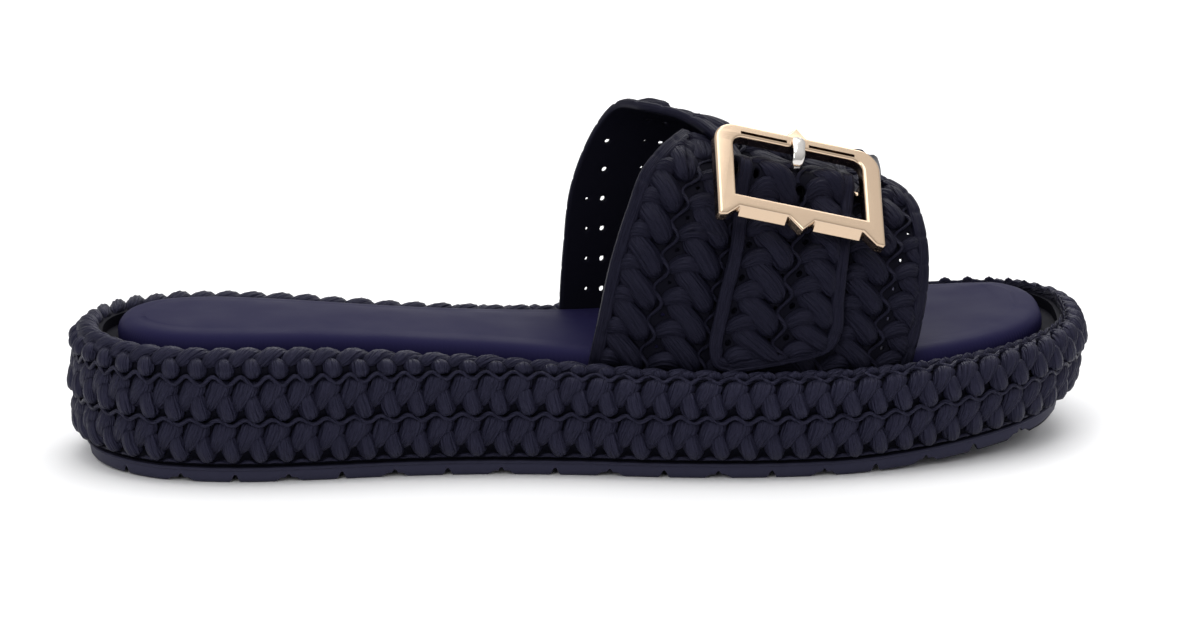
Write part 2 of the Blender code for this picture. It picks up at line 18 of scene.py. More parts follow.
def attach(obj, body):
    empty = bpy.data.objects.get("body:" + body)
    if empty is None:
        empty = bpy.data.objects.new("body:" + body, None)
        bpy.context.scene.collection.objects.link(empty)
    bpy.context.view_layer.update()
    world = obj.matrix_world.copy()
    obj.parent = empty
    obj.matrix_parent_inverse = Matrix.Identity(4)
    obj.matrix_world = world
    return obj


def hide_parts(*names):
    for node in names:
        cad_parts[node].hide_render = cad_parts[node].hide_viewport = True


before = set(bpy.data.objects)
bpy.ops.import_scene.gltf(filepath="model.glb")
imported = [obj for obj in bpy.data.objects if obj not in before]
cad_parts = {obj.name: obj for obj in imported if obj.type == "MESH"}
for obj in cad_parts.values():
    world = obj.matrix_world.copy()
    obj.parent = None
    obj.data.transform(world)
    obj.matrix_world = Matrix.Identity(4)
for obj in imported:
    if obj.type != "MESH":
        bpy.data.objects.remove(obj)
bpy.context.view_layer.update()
MM = 0.001
print("solids:", ", ".join(sorted(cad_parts)))

# %% [markdown]
# ## Camera, floor and light
#
# The photograph was taken from far away, a little behind the middle and a little above, so the
# sandal shows almost no perspective. A long lens at 1.6 m gives the same view. It looks down so
# far that a wide sheet of pale paper fills the whole picture and leaves no horizon line.

# %% Camera
scene = bpy.context.scene
scene.view_settings.view_transform = "Standard"

AIM = Vector((4.2, 0.0, 34.0)) * MM
AZIMUTH = math.radians(-8.0)
ELEVATION = math.radians(13.8)
DISTANCE = 1.6
LENS = 179.3


def look_at(item, target):
    item.rotation_euler = (target - item.location).to_track_quat("-Z", "Y").to_euler()


camera = bpy.data.objects.new("camera", bpy.data.cameras.new("camera"))
scene.collection.objects.link(camera)
level = math.cos(ELEVATION)
camera.location = AIM + DISTANCE * Vector(
    (level * math.sin(AZIMUTH), -level * math.cos(AZIMUTH), math.sin(ELEVATION))
)
look_at(camera, AIM)
camera.data.lens = LENS
camera.data.sensor_width = 36
camera.data.clip_end = 50
scene.camera = camera
print("camera at", tuple(round(value, 3) for value in camera.location))

# %% [markdown]
# ## Helpers for colour and materials
#
# A colour chart gives sRGB values, but a shader counts light, so one function turns each hex code
# to linear values. Another adds any node with its settings and links in one call, so that a
# material reads like a list of what its surface has.

# %% Colour, nodes and materials


def linear(code):
    """A colour given as sRGB hex, turned to the linear values that shaders use."""
    values = [int(code[k : k + 2], 16) / 255 for k in (1, 3, 5)]
    return [v / 12.92 if v <= 0.04045 else ((v + 0.055) / 1.055) ** 2.4 for v in values] + [1.0]


def node(tree, kind, settings=None, links=None, **inputs):
    """Adds one node: settings are its own options, inputs its values, links where they come from."""
    made = tree.nodes.new(kind)
    for key, value in (settings or {}).items():
        setattr(made, key, value)
    for key, value in inputs.items():
        made.inputs[key.replace("_", " ")].default_value = value
    for key, source in (links or {}).items():
        tree.links.new(source, made.inputs[key])
    return made


def new_material(name, code, roughness, metallic=0.0):
    material = bpy.data.materials.new(name)
    material.use_nodes = True
    shader = material.node_tree.nodes["Principled BSDF"]
    shader.inputs["Base Color"].default_value = linear(code)
    shader.inputs["Roughness"].default_value = roughness
    shader.inputs["Metallic"].default_value = metallic
    return material, material.node_tree, shader


print("navy #191927 in linear values:", [round(value, 4) for value in linear("#191927")[:3]])

# %% [markdown]
# ## Floor of background paper
#
# A studio sets a shoe on seamless paper: uncoated, matte and a very pale grey. A real roll is bent
# up behind the shoe. A flat sheet of 9 m does the same here, because the camera looks down, and
# the sandal can then be seen from every side. Paper has no gloss. Its pulp is too fine to show, so
# the bump holds only the slight waves of a rolled sheet, 10 mm wide.

# %% Paper
PAPER_SIDE = 9.0
PAPER_WAVES = 900.0

bpy.ops.mesh.primitive_plane_add(size=PAPER_SIDE)
paper = bpy.context.object
paper.name = "paper_floor"
paper_material, tree, shader = new_material("matte_background_paper", "#F7F7F8", 0.9)
waves = node(tree, "ShaderNodeTexNoise", Scale=PAPER_WAVES, Detail=2.0)
bump = node(
    tree, "ShaderNodeBump", links={"Height": waves.outputs["Fac"]}, Strength=0.04, Distance=0.2 * MM
)
tree.links.new(bump.outputs["Normal"], shader.inputs["Normal"])
paper.data.materials.append(paper_material)
print("waves of the paper:", round(PAPER_SIDE / PAPER_WAVES / MM), "mm")

# %% [markdown]
# ## Soft light
#
# The photograph is lit from all sides, and most of all from above. The world gives that: white,
# brightest overhead and darker below, by direction alone. Three softboxes add what a sky can't:
# large rectangles whose reflections run along the strands and the bars of the buckle.

# %% World and softboxes
world = bpy.data.worlds.new("studio")
world.use_nodes = True
sky = world.node_tree
facing = node(sky, "ShaderNodeTexCoord")
height = node(sky, "ShaderNodeSeparateXYZ", links={"Vector": facing.outputs["Generated"]})
fade = node(
    sky, "ShaderNodeMapRange", links={"Value": height.outputs["Z"]},
    From_Min=-0.1, From_Max=0.9, To_Min=0.42, To_Max=1.0,
)
sky.links.new(fade.outputs["Result"], sky.nodes["Background"].inputs["Strength"])
sky.nodes["Background"].inputs["Color"].default_value = (1.0, 1.0, 1.0, 1.0)
scene.world = world

# name, place in m, aim in m, width, height, power in watts
SOFTBOXES = (
    ("top_softbox", (0.1, -0.05, 1.5), (0.0, 0.0, 0.03), 1.6, 1.2, 11.0),
    ("front_softbox", (-0.9, -1.5, 1.1), (0.0, 0.0, 0.04), 0.9, 0.9, 7.0),
    ("back_softbox", (0.5, 1.3, 1.2), (0.0, 0.0, 0.05), 1.2, 0.6, 8.0),
)
for name, place, aim, width, height, power in SOFTBOXES:
    lamp = bpy.data.lights.new(name, "AREA")
    lamp.shape = "RECTANGLE"
    lamp.size = width
    lamp.size_y = height
    lamp.energy = power
    item = bpy.data.objects.new(name, lamp)
    scene.collection.objects.link(item)
    item.location = place
    look_at(item, Vector(aim))
print(len(SOFTBOXES), "softboxes")

# %% [markdown]
# ## The sizes of the sandal
#
# Everything is laid on two surfaces: the side wall of the platform and the last, the foot-shaped
# form that the band is moulded over. Both come from short tables of sizes. A smooth curve through
# each table fills in the places between its rows.

# %% Tables of sizes
LENGTH = 272 * MM
BALL_WIDTH = 104 * MM
TO_ORIGIN = Vector((-135.894, 0.407, 0.0)) * MM
SLOT_DEPTH = 4.0 * MM
SLOT_WIDTH = 4.2 * MM
TREAD_THICK = 4.0 * MM
FIT_GAP = 0.3 * MM

# Outline seen from above: share of LENGTH, share of BALL_WIDTH
OUTLINE = (
    (0.000, 0.010), (0.003, 0.113), (0.013, 0.198), (0.033, 0.275), (0.063, 0.333), (0.103, 0.360),
    (0.147, 0.356), (0.206, 0.323), (0.287, 0.296), (0.382, 0.292), (0.478, 0.317), (0.588, 0.389),
    (0.699, 0.452), (0.801, 0.476), (0.875, 0.466), (0.926, 0.428), (0.963, 0.361), (0.987, 0.260),
    (0.999, 0.125), (0.997, 0.010), (0.989, -0.106), (0.967, -0.216), (0.929, -0.313),
    (0.875, -0.389), (0.809, -0.447), (0.728, -0.481), (0.647, -0.479), (0.559, -0.442),
    (0.471, -0.383), (0.382, -0.342), (0.301, -0.331), (0.221, -0.337), (0.154, -0.333),
    (0.103, -0.306), (0.059, -0.255), (0.026, -0.173), (0.007, -0.082),
)

# Heights in mm: share of LENGTH, underside, rim top, insole top
STATIONS = (
    (0.00, 0.5, 35.0, 38.6),
    (0.08, 0.0, 35.0, 38.8),
    (0.20, 0.0, 35.0, 38.8),
    (0.35, 0.0, 31.8, 35.8),
    (0.50, 0.0, 28.8, 32.8),
    (0.65, 0.0, 27.5, 31.6),
    (0.73, 0.0, 27.5, 31.7),
    (0.85, 2.0, 28.5, 32.4),
    (0.95, 5.0, 30.5, 34.0),
    (1.00, 7.0, 32.0, 35.4),
)

# Side wall of the platform: share of its height, inset at the heel and at the toe in mm
SIDE = (
    (0.00, 3.2, 5.6),
    (0.16, 1.0, 3.2),
    (0.27, 0.3, 2.1),
    (0.36, 0.2, 1.4),
    (0.46, 0.0, 0.8),
    (0.58, 0.0, 0.3),
    (0.67, 0.0, 0.1),
    (0.77, 0.0, 0.0),
    (0.90, 0.3, 0.2),
    (0.99, 2.6, 2.0),
    (1.00, 4.7, 3.5),
    (0.98, 6.4, 5.2),
)

# Rim width in mm along the sole
RIM = ((0.0, 7.4), (0.3, 8.0), (0.55, 7.6), (1.0, 6.3))

# %% Read a table between its rows


def smooth(table, at, column=1):
    """The value of a table's column at a place, along a smooth curve through its rows."""
    rows = np.array(table, dtype=float)
    knots = rows[:, 0]
    values = rows[:, column]
    slopes = np.gradient(values, knots)
    at = np.clip(np.asarray(at, dtype=float), knots[0], knots[-1])
    low = np.clip(np.searchsorted(knots, at, side="right") - 1, 0, len(knots) - 2)
    step = knots[low + 1] - knots[low]
    t = (at - knots[low]) / step
    start = values[low] * (1 + 2 * t) * (1 - t) ** 2 + slopes[low] * step * t * (1 - t) ** 2
    end = values[low + 1] * t * t * (3 - 2 * t) - slopes[low + 1] * step * t * t * (1 - t)
    return start + end


print("rim at the heel and the toe in mm:", [float(smooth(STATIONS, at, 2)) for at in (0, 1)])

# %% [markdown]
# ## The outline of the sole
#
# A pattern maker measures a few points of a sole and joins them with a flexible ruler. The same is
# done here: each point gets a direction from its two neighbours, and a cubic curve runs between
# each pair. A place on the line is its share of the way round, 0 at the heel and 0.5 at the tip of
# the toe, with the inner side of the foot first.

# %% One smooth line round the sole


def outline_line():
    """Points round the sole, from the heel over the inner side, and the share of the way round."""
    knots = np.array(OUTLINE) * (LENGTH, BALL_WIDTH)
    before = np.roll(knots, 1, axis=0)
    after = np.roll(knots, -1, axis=0)
    span_in = np.linalg.norm(knots - before, axis=1)[:, None]
    span_out = np.linalg.norm(after - knots, axis=1)[:, None]
    arriving = (knots - before) / span_in
    leaving = (after - knots) / span_out
    tangent = (arriving * span_out + leaving * span_in) / (span_in + span_out)
    t = np.linspace(0, 1, 40, endpoint=False)[:, None]
    dense = []
    for row in range(len(knots)):
        other = (row + 1) % len(knots)
        start = knots[row] * (1 + 2 * t) * (1 - t) ** 2 + tangent[row] * span_out[row] * t * (1 - t) ** 2
        end = knots[other] * t * t * (3 - 2 * t) - tangent[other] * span_out[row] * t * t * (1 - t)
        dense.append(start + end)
    dense = np.concatenate(dense + [dense[0][:1]])
    run = np.concatenate([[0], np.cumsum(np.linalg.norm(np.diff(dense, axis=0), axis=1))])
    tip = run[np.argmax(dense[:, 0])]
    share = np.where(run <= tip, 0.5 * run / tip, 0.5 + 0.5 * (run - tip) / (run[-1] - tip))
    return share, dense, run[-1]


LINE_SHARE, LINE_POINTS, GIRTH = outline_line()


def line_at(share):
    share = np.asarray(share) % 1.0
    x = np.interp(share, LINE_SHARE, LINE_POINTS[:, 0])
    y = np.interp(share, LINE_SHARE, LINE_POINTS[:, 1])
    return np.stack([x, y], axis=-1)


def inset_line(share, inset):
    """Points that lie inside the outline by an inset."""
    ahead = line_at(np.asarray(share) + 0.001)
    behind = line_at(np.asarray(share) - 0.001)
    along = ahead - behind
    along = along / np.linalg.norm(along, axis=-1, keepdims=True)
    inward = np.stack([along[..., 1], -along[..., 0]], axis=-1)
    return line_at(share) + inward * np.asarray(inset)[..., None]


def underside(length_share):
    return np.maximum(smooth(STATIONS, length_share, 1), 0.0) * MM


print("round the sole:", round(GIRTH / MM), "mm")

# %% [markdown]
# ## A surface to lay plaits on
#
# A plait is drawn flat first, in millimetres across and along, and then laid on the curved wall.
# So each surface is kept as a grid of points with the direction that points away from it. A flat
# place and a height above the surface give a point in space.

# %% Surface grid


class Surface:
    """A grid of points read between its rows, and the direction that points out of it."""

    def __init__(self, points, closed=False):
        if closed:
            ring = np.concatenate([points[-1:], points, points[:2]])
        else:
            ring = points
        across = np.gradient(ring, axis=0)
        along = np.gradient(ring, axis=1)
        out = np.cross(across, along)
        out = out / np.maximum(np.linalg.norm(out, axis=-1, keepdims=True), 1e-12)
        if closed:
            ring = ring[1:-1]
            out = out[1:-1]
        self.points = ring
        self.out = out
        self.closed = closed

    def at(self, u, v, lift=0.0):
        """u and v run from 0 to 1 over the grid; lift is the height above it."""
        u = np.asarray(u, dtype=float)
        u = (u % 1.0 if self.closed else np.clip(u, 0, 1)) * (self.points.shape[0] - 1)
        v = np.clip(np.asarray(v, dtype=float), 0, 1) * (self.points.shape[1] - 1)
        i = np.clip(u.astype(int), 0, self.points.shape[0] - 2)
        j = np.clip(v.astype(int), 0, self.points.shape[1] - 2)
        a = (u - i)[..., None]
        b = (v - j)[..., None]
        mixed = []
        for grid in (self.points, self.out):
            low = grid[i, j] * (1 - a) + grid[i + 1, j] * a
            high = grid[i, j + 1] * (1 - a) + grid[i + 1, j + 1] * a
            mixed.append(low * (1 - b) + high * b)
        return mixed[0] + mixed[1] * np.asarray(lift)[..., None]


# %% [markdown]
# ## Turning points into a piece
#
# Every piece is made in the same way: rows of points, faces between them, points that coincide
# merged, and all faces turned outwards. It rides on the sandal's one body. A Boolean carves a hole
# where a grid of points can't have one.

# %% Make and carve a piece


def mesh_piece(name, points, faces, material, sharp=None, flat=None):
    """A smooth-shaded piece from points and faces; flat holds each point's place for the fibres."""
    points = np.asarray(points).reshape(-1, 3)
    mesh = bpy.data.meshes.new(name)
    mesh.from_pydata(points.tolist(), [], [tuple(face) for face in faces])
    if flat is not None:
        corner_points = np.empty(len(mesh.loops), np.int32)
        mesh.loops.foreach_get("vertex_index", corner_points)
        flat = np.asarray(flat).reshape(-1, 2)[corner_points]
        mesh.uv_layers.new(name="fibres").data.foreach_set("uv", flat.ravel())
    work = bmesh.new()
    work.from_mesh(mesh)
    bmesh.ops.remove_doubles(work, verts=work.verts, dist=0.002 * MM)
    bmesh.ops.recalc_face_normals(work, faces=work.faces)
    work.to_mesh(mesh)
    work.free()
    mesh.shade_smooth()
    if sharp is not None:
        mesh.set_sharp_from_angle(angle=math.radians(sharp))
    mesh.materials.append(material)
    item = bpy.data.objects.new(name, mesh)
    scene.collection.objects.link(item)
    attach(item, "root")
    mesh.calc_loop_triangles()
    print(name + ":", len(mesh.loop_triangles), "triangles")
    return item


def carve(item, cutter, inside=False):
    """Cuts one closed shape out of a piece for good, and removes the cutter."""
    cut = item.modifiers.new("carve", "BOOLEAN")
    cut.object = cutter
    cut.operation = "DIFFERENCE"
    cut.solver = "EXACT"
    cut.use_self = inside
    item.modifiers.move(len(item.modifiers) - 1, 0)
    graph = bpy.context.evaluated_depsgraph_get()
    shaped = bpy.data.meshes.new_from_object(item.evaluated_get(graph))
    item.modifiers.clear()
    item.data = shaped
    bpy.data.objects.remove(cutter, do_unlink=True)


# %% Faces of grids and tubes


def grid_faces(rows, columns, round_rows=False, round_columns=False):
    """Four-sided faces of a grid of rows by columns, each direction open or closed."""
    i = np.arange(rows if round_rows else rows - 1)[:, None]
    j = np.arange(columns if round_columns else columns - 1)[None, :]
    after_i = (i + 1) % rows
    after_j = (j + 1) % columns
    corners = (i * columns + j, i * columns + after_j, after_i * columns + after_j, after_i * columns + j)
    return np.stack([corner + 0 * i + 0 * j for corner in corners], axis=-1).reshape(-1, 4).tolist()


def tube_faces(count, rings, sides):
    """Faces of many closed tubes of the same build, with both ends capped."""
    one = grid_faces(rings, sides, round_columns=True)
    one.append(list(range(sides))[::-1])
    one.append([(rings - 1) * sides + k for k in range(sides)])
    faces = []
    for piece in range(count):
        shift = piece * rings * sides
        faces.extend([[corner + shift for corner in face] for face in one])
    return faces


print("faces of a tube with 10 rings of 21 points:", len(tube_faces(1, 10, 21)))

# %% [markdown]
# ## The platform's side wall
#
# The wall stands on the tread, bulges a little and rolls over the rim. At each place round the
# sole a short profile gives its inset and its height, up to the inner edge of the rim. It is cut
# into three rows of stitches. The lower two are about 11 mm high, and the third takes the roll of
# the rim. The grid has eight columns to a stitch.

# %% Side wall as a surface
STITCHES = 91
WALL_COLUMNS = 8 * STITCHES
WALL_ROWS = 121
ROW_FOOT = 1.7 * MM
ROW_LOW = 11.6 * MM
ROW_MIDDLE = 11.2 * MM


def toward_toe(length_share):
    """0 over the rear third of the sole, rising to 1 at the tip of the toe."""
    return np.clip((length_share - 0.35) / 0.65, 0, 1) ** 1.5


def wall_profile(share_round):
    """Inset and height of the side wall at one place, from the tread to the inner edge of the rim."""
    x_share = line_at(share_round)[0] / LENGTH
    toe = toward_toe(x_share)
    base = underside(x_share) + TREAD_THICK + FIT_GAP
    rim = smooth(STATIONS, x_share, 2) * MM
    knots = np.arange(len(SIDE), dtype=float)
    table = [(k, up, heel, toe) for k, (up, heel, toe) in zip(knots, SIDE)]
    t = np.linspace(0, len(SIDE) - 1, 100)
    inset = (smooth(table, t, 2) * (1 - toe) + smooth(table, t, 3) * toe) * MM
    height = base + smooth(table, t, 1) * (rim - base)
    run = np.concatenate([[0], np.cumsum(np.hypot(np.diff(inset), np.diff(height)))])
    rows = np.linspace(0, 3, WALL_ROWS)
    marks = np.cumsum((ROW_FOOT, ROW_LOW, ROW_MIDDLE, 0.0))
    marks[3] = run[-1]
    place = np.interp(rows, (0, 1, 2, 3), marks)
    return np.interp(place, run, inset), np.interp(place, run, height)


wall_share = np.arange(WALL_COLUMNS) / WALL_COLUMNS
profiles = [wall_profile(share) for share in wall_share]
wall_inset = np.array([inset for inset, _ in profiles])
wall_height = np.array([height for _, height in profiles])
wall_flat = inset_line(np.repeat(wall_share[:, None], WALL_ROWS, axis=1), wall_inset)
wall_points = np.concatenate([wall_flat, wall_height[..., None]], axis=-1) + np.array(TO_ORIGIN)
wall = Surface(wall_points, closed=True)
if np.dot(wall.out[0, 30], (-1, 0, 0)) < 0:
    wall.out = -wall.out
print("wall grid:", wall.points.shape[:2])

# %% [markdown]
# ## Foam for the platform and the band
#
# The platform, band and panel are EVA, a closed-cell foam rubber that is moulded in one shot. Its
# skin is satin, not glossy, because the mould is blasted with fine grit. A blue-black pigment
# runs right through it. Under soft light only the tops of the strands catch a dull lilac sheen.
# The fine lines along each strand are the fibres of the raffia that the mould was cast from.

# %% Moulded EVA
# The photograph's highlights are lilac, so the light that the skin throws back is tinted.
COOL_SHEEN = (0.66, 0.64, 1.0, 1.0)

# Grit from a blasted mould is about 0.1 mm. It is drawn 0.45 mm wide, or it wouldn't show.
GRIT_PER_MM = 2.2

# Fibres of raffia are about 0.2 mm wide. They are drawn coarser, 0.7 mm wide and 11 mm long.
FIBRES_PER_MM = (1.5, 0.09, 1.0)

# Foam cools unevenly, which leaves patches of more or less shine, about 17 mm across.
PATCHES_PER_MM = 0.06


def moulded_eva(name, code, roughness, gloss, fibre_mm=0.0):
    """Foam with fine grit; gloss is its specular level, fibre_mm the depth of lines along a strand."""
    material, tree, shader = new_material(name, code, roughness)
    shader.inputs["IOR"].default_value = 1.45
    shader.inputs["Specular IOR Level"].default_value = gloss
    shader.inputs["Specular Tint"].default_value = COOL_SHEEN
    place = node(tree, "ShaderNodeTexCoord")
    grit = node(
        tree, "ShaderNodeTexNoise", links={"Vector": place.outputs["Object"]},
        Scale=GRIT_PER_MM / MM, Detail=3.0, Roughness=0.6,
    )
    bump = node(
        tree, "ShaderNodeBump", links={"Height": grit.outputs["Fac"]}, Strength=0.5, Distance=0.04 * MM
    )
    if fibre_mm:
        drawn = node(
            tree, "ShaderNodeMapping", links={"Vector": place.outputs["UV"]}, Scale=FIBRES_PER_MM
        )
        hairs = node(
            tree, "ShaderNodeTexNoise", links={"Vector": drawn.outputs["Vector"]},
            Scale=1.0, Detail=3.0, Roughness=0.6,
        )
        bump = node(
            tree, "ShaderNodeBump",
            links={"Height": hairs.outputs["Fac"], "Normal": bump.outputs["Normal"]},
            Strength=1.0, Distance=fibre_mm * MM,
        )
    cloud = node(
        tree, "ShaderNodeTexNoise", links={"Vector": place.outputs["Object"]},
        Scale=PATCHES_PER_MM / MM, Detail=2.0,
    )
    sheen = node(
        tree, "ShaderNodeMapRange", links={"Value": cloud.outputs["Fac"]},
        From_Min=0.3, From_Max=0.7, To_Min=roughness - 0.05, To_Max=roughness + 0.06,
    )
    tree.links.new(bump.outputs["Normal"], shader.inputs["Normal"])
    tree.links.new(sheen.outputs["Result"], shader.inputs["Roughness"])
    return material


# %% Six finishes of the foam and the rubber
# Satin EVA on the strands of the platform: dark navy, with dull light along their rounded tops.
platform_strands = moulded_eva("moulded_eva_satin_navy", "#191927", 0.43, 0.3, 1.3)
# The same foam on the band, from a rougher mould: less shine, so it looks almost black.
upper_strands = moulded_eva("moulded_eva_matte_navy", "#10101B", 0.46, 0.18, 1.1)
# EVA at the bottom of the relief, out of the light: the dullest, and coloured far darker than the strands
# as painted shade, so that gaps read as deep.
painted_shade_foam = moulded_eva("moulded_eva_navy_painted_gap_shade", "#08080E", 0.65, 0.09)
# The plain inner face of the band, without the painted shade of the gaps: a little lighter than they are.
lining_foam = moulded_eva("moulded_eva_lining_navy", "#0D0D15", 0.6, 0.12)
# Smooth-skinned EVA of the footbed: slate violet, with a wide soft sheen at a low angle.
footbed_foam = moulded_eva("moulded_eva_footbed_slate", "#1B1936", 0.5, 0.05)
# Dense moulded rubber of the tread: matte, and a shade greyer than the foam.
tread_rubber = moulded_eva("moulded_rubber_tread_navy", "#2C2C3B", 0.6, 0.25)
print("finishes:", ", ".join(material.name for material in bpy.data.materials))

# %% [markdown]
# ## The platform under its braid
#
# Under the strands lies a plain wall of foam. It is a stack of rings that follow the outline, and
# it stands a little back, so the gaps between strands look into the dark. Its foam is coloured much
# darker than the strands, as painted shade that deepens the gaps. A cube with modifiers could
# bulge like this too, but rings keep to the same surface as the strands above them.

# %% Core of the platform
CORE_BACK = 1.1 * MM
CORE_RINGS = 34
FOOT_INSET = 4.2 * MM
TOE_TUCK = 2.4 * MM
GROOVE_DEEP = 0.5 * MM


def core_rings():
    share = np.arange(0, WALL_COLUMNS, 2) / WALL_COLUMNS
    x_share = line_at(share)[:, 0] / LENGTH
    rim = smooth(STATIONS, x_share, 2) * MM
    width = smooth(RIM, x_share) * MM
    lowest = inset_line(share, FOOT_INSET + TOE_TUCK * toward_toe(x_share))
    base = underside(x_share) + TREAD_THICK + FIT_GAP
    rings = [np.column_stack([lowest, base]) + np.array(TO_ORIGIN)]
    for row in np.linspace(0, 3, CORE_RINGS):
        between_rows = 0 < round(row) < 3
        groove = GROOVE_DEEP * math.exp(-(((row - round(row)) / 0.07) ** 2)) if between_rows else 0.0
        back = CORE_BACK * (1.0 if row < 2.9 else 0.6) + groove
        rings.append(wall.at(share, row / 3, -back))
    for lift in (0.3, 1.0):
        flat = inset_line(share, width)
        ring = np.column_stack([flat, rim - lift * SLOT_DEPTH]) + np.array(TO_ORIGIN)
        rings.append(ring)
    return rings


def ring_stack(name, rings, material, sharp=None):
    """A closed body through rings, with strips across its underside and its top."""
    columns = len(rings[0])
    faces = grid_faces(len(rings), columns, round_columns=True)
    top = (len(rings) - 1) * columns
    for i in range(columns // 2):
        strip = list(dict.fromkeys([i, i + 1, columns - i - 1, (columns - i) % columns]))
        faces.append(strip)
        faces.append([top + k for k in reversed(strip)])
    return mesh_piece(name, np.concatenate(rings), faces, material, sharp)


core = ring_stack("platform_core", core_rings(), painted_shade_foam, 50)
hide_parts("midsole")

# %% [markdown]
# ## Strands
#
# A plait is many copies of a few short strands. Each strand is a tube that starts thin, swells
# and ends rounded, with fine ridges along its top. A table gives its middle line, half width and
# height, and the copies are laid on a surface cell by cell. A bump map alone would leave the
# outline straight, and the strands make up the outline of the sole. Each copy is shifted and
# swollen by chance, as hand plaiting is never even. The seed keeps it the same on every run.

# %% Shape of one strand
TOP_POINTS = 19
chance = np.random.default_rng(7)


def strand_rings(path, ridges, ridge_height, steps, skew=0.0):
    """One strand: flat places and heights in mm as steps by points round it, and places for its fibres."""
    t = np.linspace(0, 1, steps)
    x = smooth(path, t, 1)
    y = smooth(path, t, 2)
    half = smooth(path, t, 3)
    high = smooth(path, t, 4)
    along = np.stack([np.gradient(x), np.gradient(y)], axis=-1)
    along /= np.linalg.norm(along, axis=-1, keepdims=True)
    side = np.stack([along[:, 1], -along[:, 0]], axis=-1)
    top = np.linspace(-1, 1, TOP_POINTS)
    dome = 1 - np.abs(top) ** 2.4
    turns = ridges * (top[None] + 1) + skew * t[:, None]
    comb = np.abs(np.cos(0.5 * math.pi * turns)) * (1 - top**2)
    across = np.concatenate([top, (0.6, -0.6)])
    flat_x = x[:, None] + side[:, :1] * across * half[:, None]
    flat_y = y[:, None] + side[:, 1:] * across * half[:, None]
    swell = np.clip(high / high.max(), 0, 1)[:, None]
    lift = high[:, None] * dome + ridge_height * comb * swell
    lift = np.concatenate([lift, np.full((steps, 2), -0.5)], axis=1)
    long_way = np.concatenate([[0], np.cumsum(np.hypot(np.diff(x), np.diff(y)))])
    fibres = np.stack(
        [across * half.max() + 0.6 * skew * t[:, None], long_way[:, None] + 0 * across], axis=-1
    )
    return flat_x, flat_y, lift, fibres


# %% Lay many copies at once


def lay_strands(name, shape, cells, lay, material):
    """Copies of one strand: cells give where each starts in mm, lay puts flat places on a surface."""
    flat_x, flat_y, lift, fibres = shape
    shake = chance.normal(0, 0.09, (2, len(cells), 1, 1))
    swell = 1 + chance.normal(0, 0.03, (len(cells), 1, 1))
    x = flat_x[None] + cells[:, 0, None, None] + shake[0]
    y = flat_y[None] + cells[:, 1, None, None] + shake[1]
    points = lay(x, y, lift * swell)
    faces = tube_faces(len(cells), *flat_x.shape)
    start = chance.uniform(0, 400, (len(cells), 1, 1, 2))
    return mesh_piece(name, points, faces, material, flat=fibres[None] + start)


# %% [markdown]
# ## The braid round the platform
#
# Seen from outside, each stitch has two strands. The upper one is a leaf that leans to the right
# and narrows down to its tip, with clear ridges. The lower one is a drop that leans the other
# way, thin at the top and round at the bottom. A small dark triangle stays open beside each drop.
# There are 91 stitches in a row and three rows. The third row rolls over the rim.

# %% Stitch tables
CELL_WIDE = 7.0
CELL_HIGH = 11.3

# mm that each row is shifted along from the one below
ROW_SLIDE = -1.0

# share of the way, x and y in mm from the cell's lower left corner, half width, height
LEAF = (
    (0.00, 5.6, 11.4, 1.9, 0.6),
    (0.12, 5.4, 10.5, 2.9, 1.4),
    (0.40, 4.4, 8.3, 3.2, 2.1),
    (0.68, 3.0, 6.0, 2.7, 1.9),
    (0.88, 1.8, 3.9, 1.7, 1.4),
    (1.00, 1.1, 2.7, 0.5, 0.4),
)
DROP = (
    (0.00, 5.8, 8.3, 0.8, 0.5),
    (0.20, 5.9, 6.9, 2.1, 2.0),
    (0.45, 6.2, 5.0, 2.7, 2.8),
    (0.70, 6.8, 2.9, 2.8, 3.0),
    (0.88, 7.3, 1.2, 2.3, 2.5),
    (0.96, 7.5, 0.4, 1.4, 1.5),
    (1.00, 7.6, 0.1, 0.4, 0.4),
)
RIM_LEAF = (
    (0.00, 0.9, 3.8, 0.7, 0.6),
    (0.18, 2.3, 5.6, 2.2, 1.7),
    (0.45, 4.9, 7.9, 2.7, 2.1),
    (0.72, 7.6, 9.6, 2.6, 1.7),
    (0.90, 9.4, 10.7, 1.9, 1.1),
    (1.00, 10.4, 11.3, 0.7, 0.3),
)
RIM_BEAD = (
    (0.00, 6.3, 6.6, 0.9, 0.7),
    (0.25, 6.5, 5.2, 2.2, 1.9),
    (0.50, 6.8, 3.6, 2.7, 2.6),
    (0.75, 7.1, 1.9, 2.5, 2.5),
    (0.92, 7.3, 0.7, 1.6, 1.6),
    (1.00, 7.4, 0.3, 0.5, 0.4),
)


# %% Three rows of stitches


def lay_on_wall(row):
    """Turns flat places of a row of stitches into points on the platform's side wall."""

    def lay(x, y, lift):
        around = -x / (CELL_WIDE * STITCHES)
        up = (row + y / CELL_HIGH) / 3
        return wall.at(around, up, (lift - 1.0) * MM)

    return lay


for row, name in enumerate(("low", "middle", "rim")):
    cells = np.array([(CELL_WIDE * k + ROW_SLIDE * row, 0.0) for k in range(STITCHES)])
    upper_table, lower_table = (RIM_LEAF, RIM_BEAD) if name == "rim" else (LEAF, DROP)
    leaf = strand_rings(upper_table, 5, 0.46, 10, skew=2.0)
    drop = strand_rings(lower_table, 4, 0.24, 12)
    lay_strands("braid_leaf_" + name, leaf, cells, lay_on_wall(row), platform_strands)
    lay_strands("braid_drop_" + name, drop, cells, lay_on_wall(row), platform_strands)

# %% [markdown]
# ## Threads between the rows
#
# Where two rows meet, a thin thread winds up between two stitches and down under the next. One
# more runs along the foot of the wall. In the mould it ties the rows together. A closed tube along
# a wave gives it, and the same function later makes the cords of the band, with open ends.

# %% A round thread
THREAD_STEPS = 12
THREAD_SIDES = 8


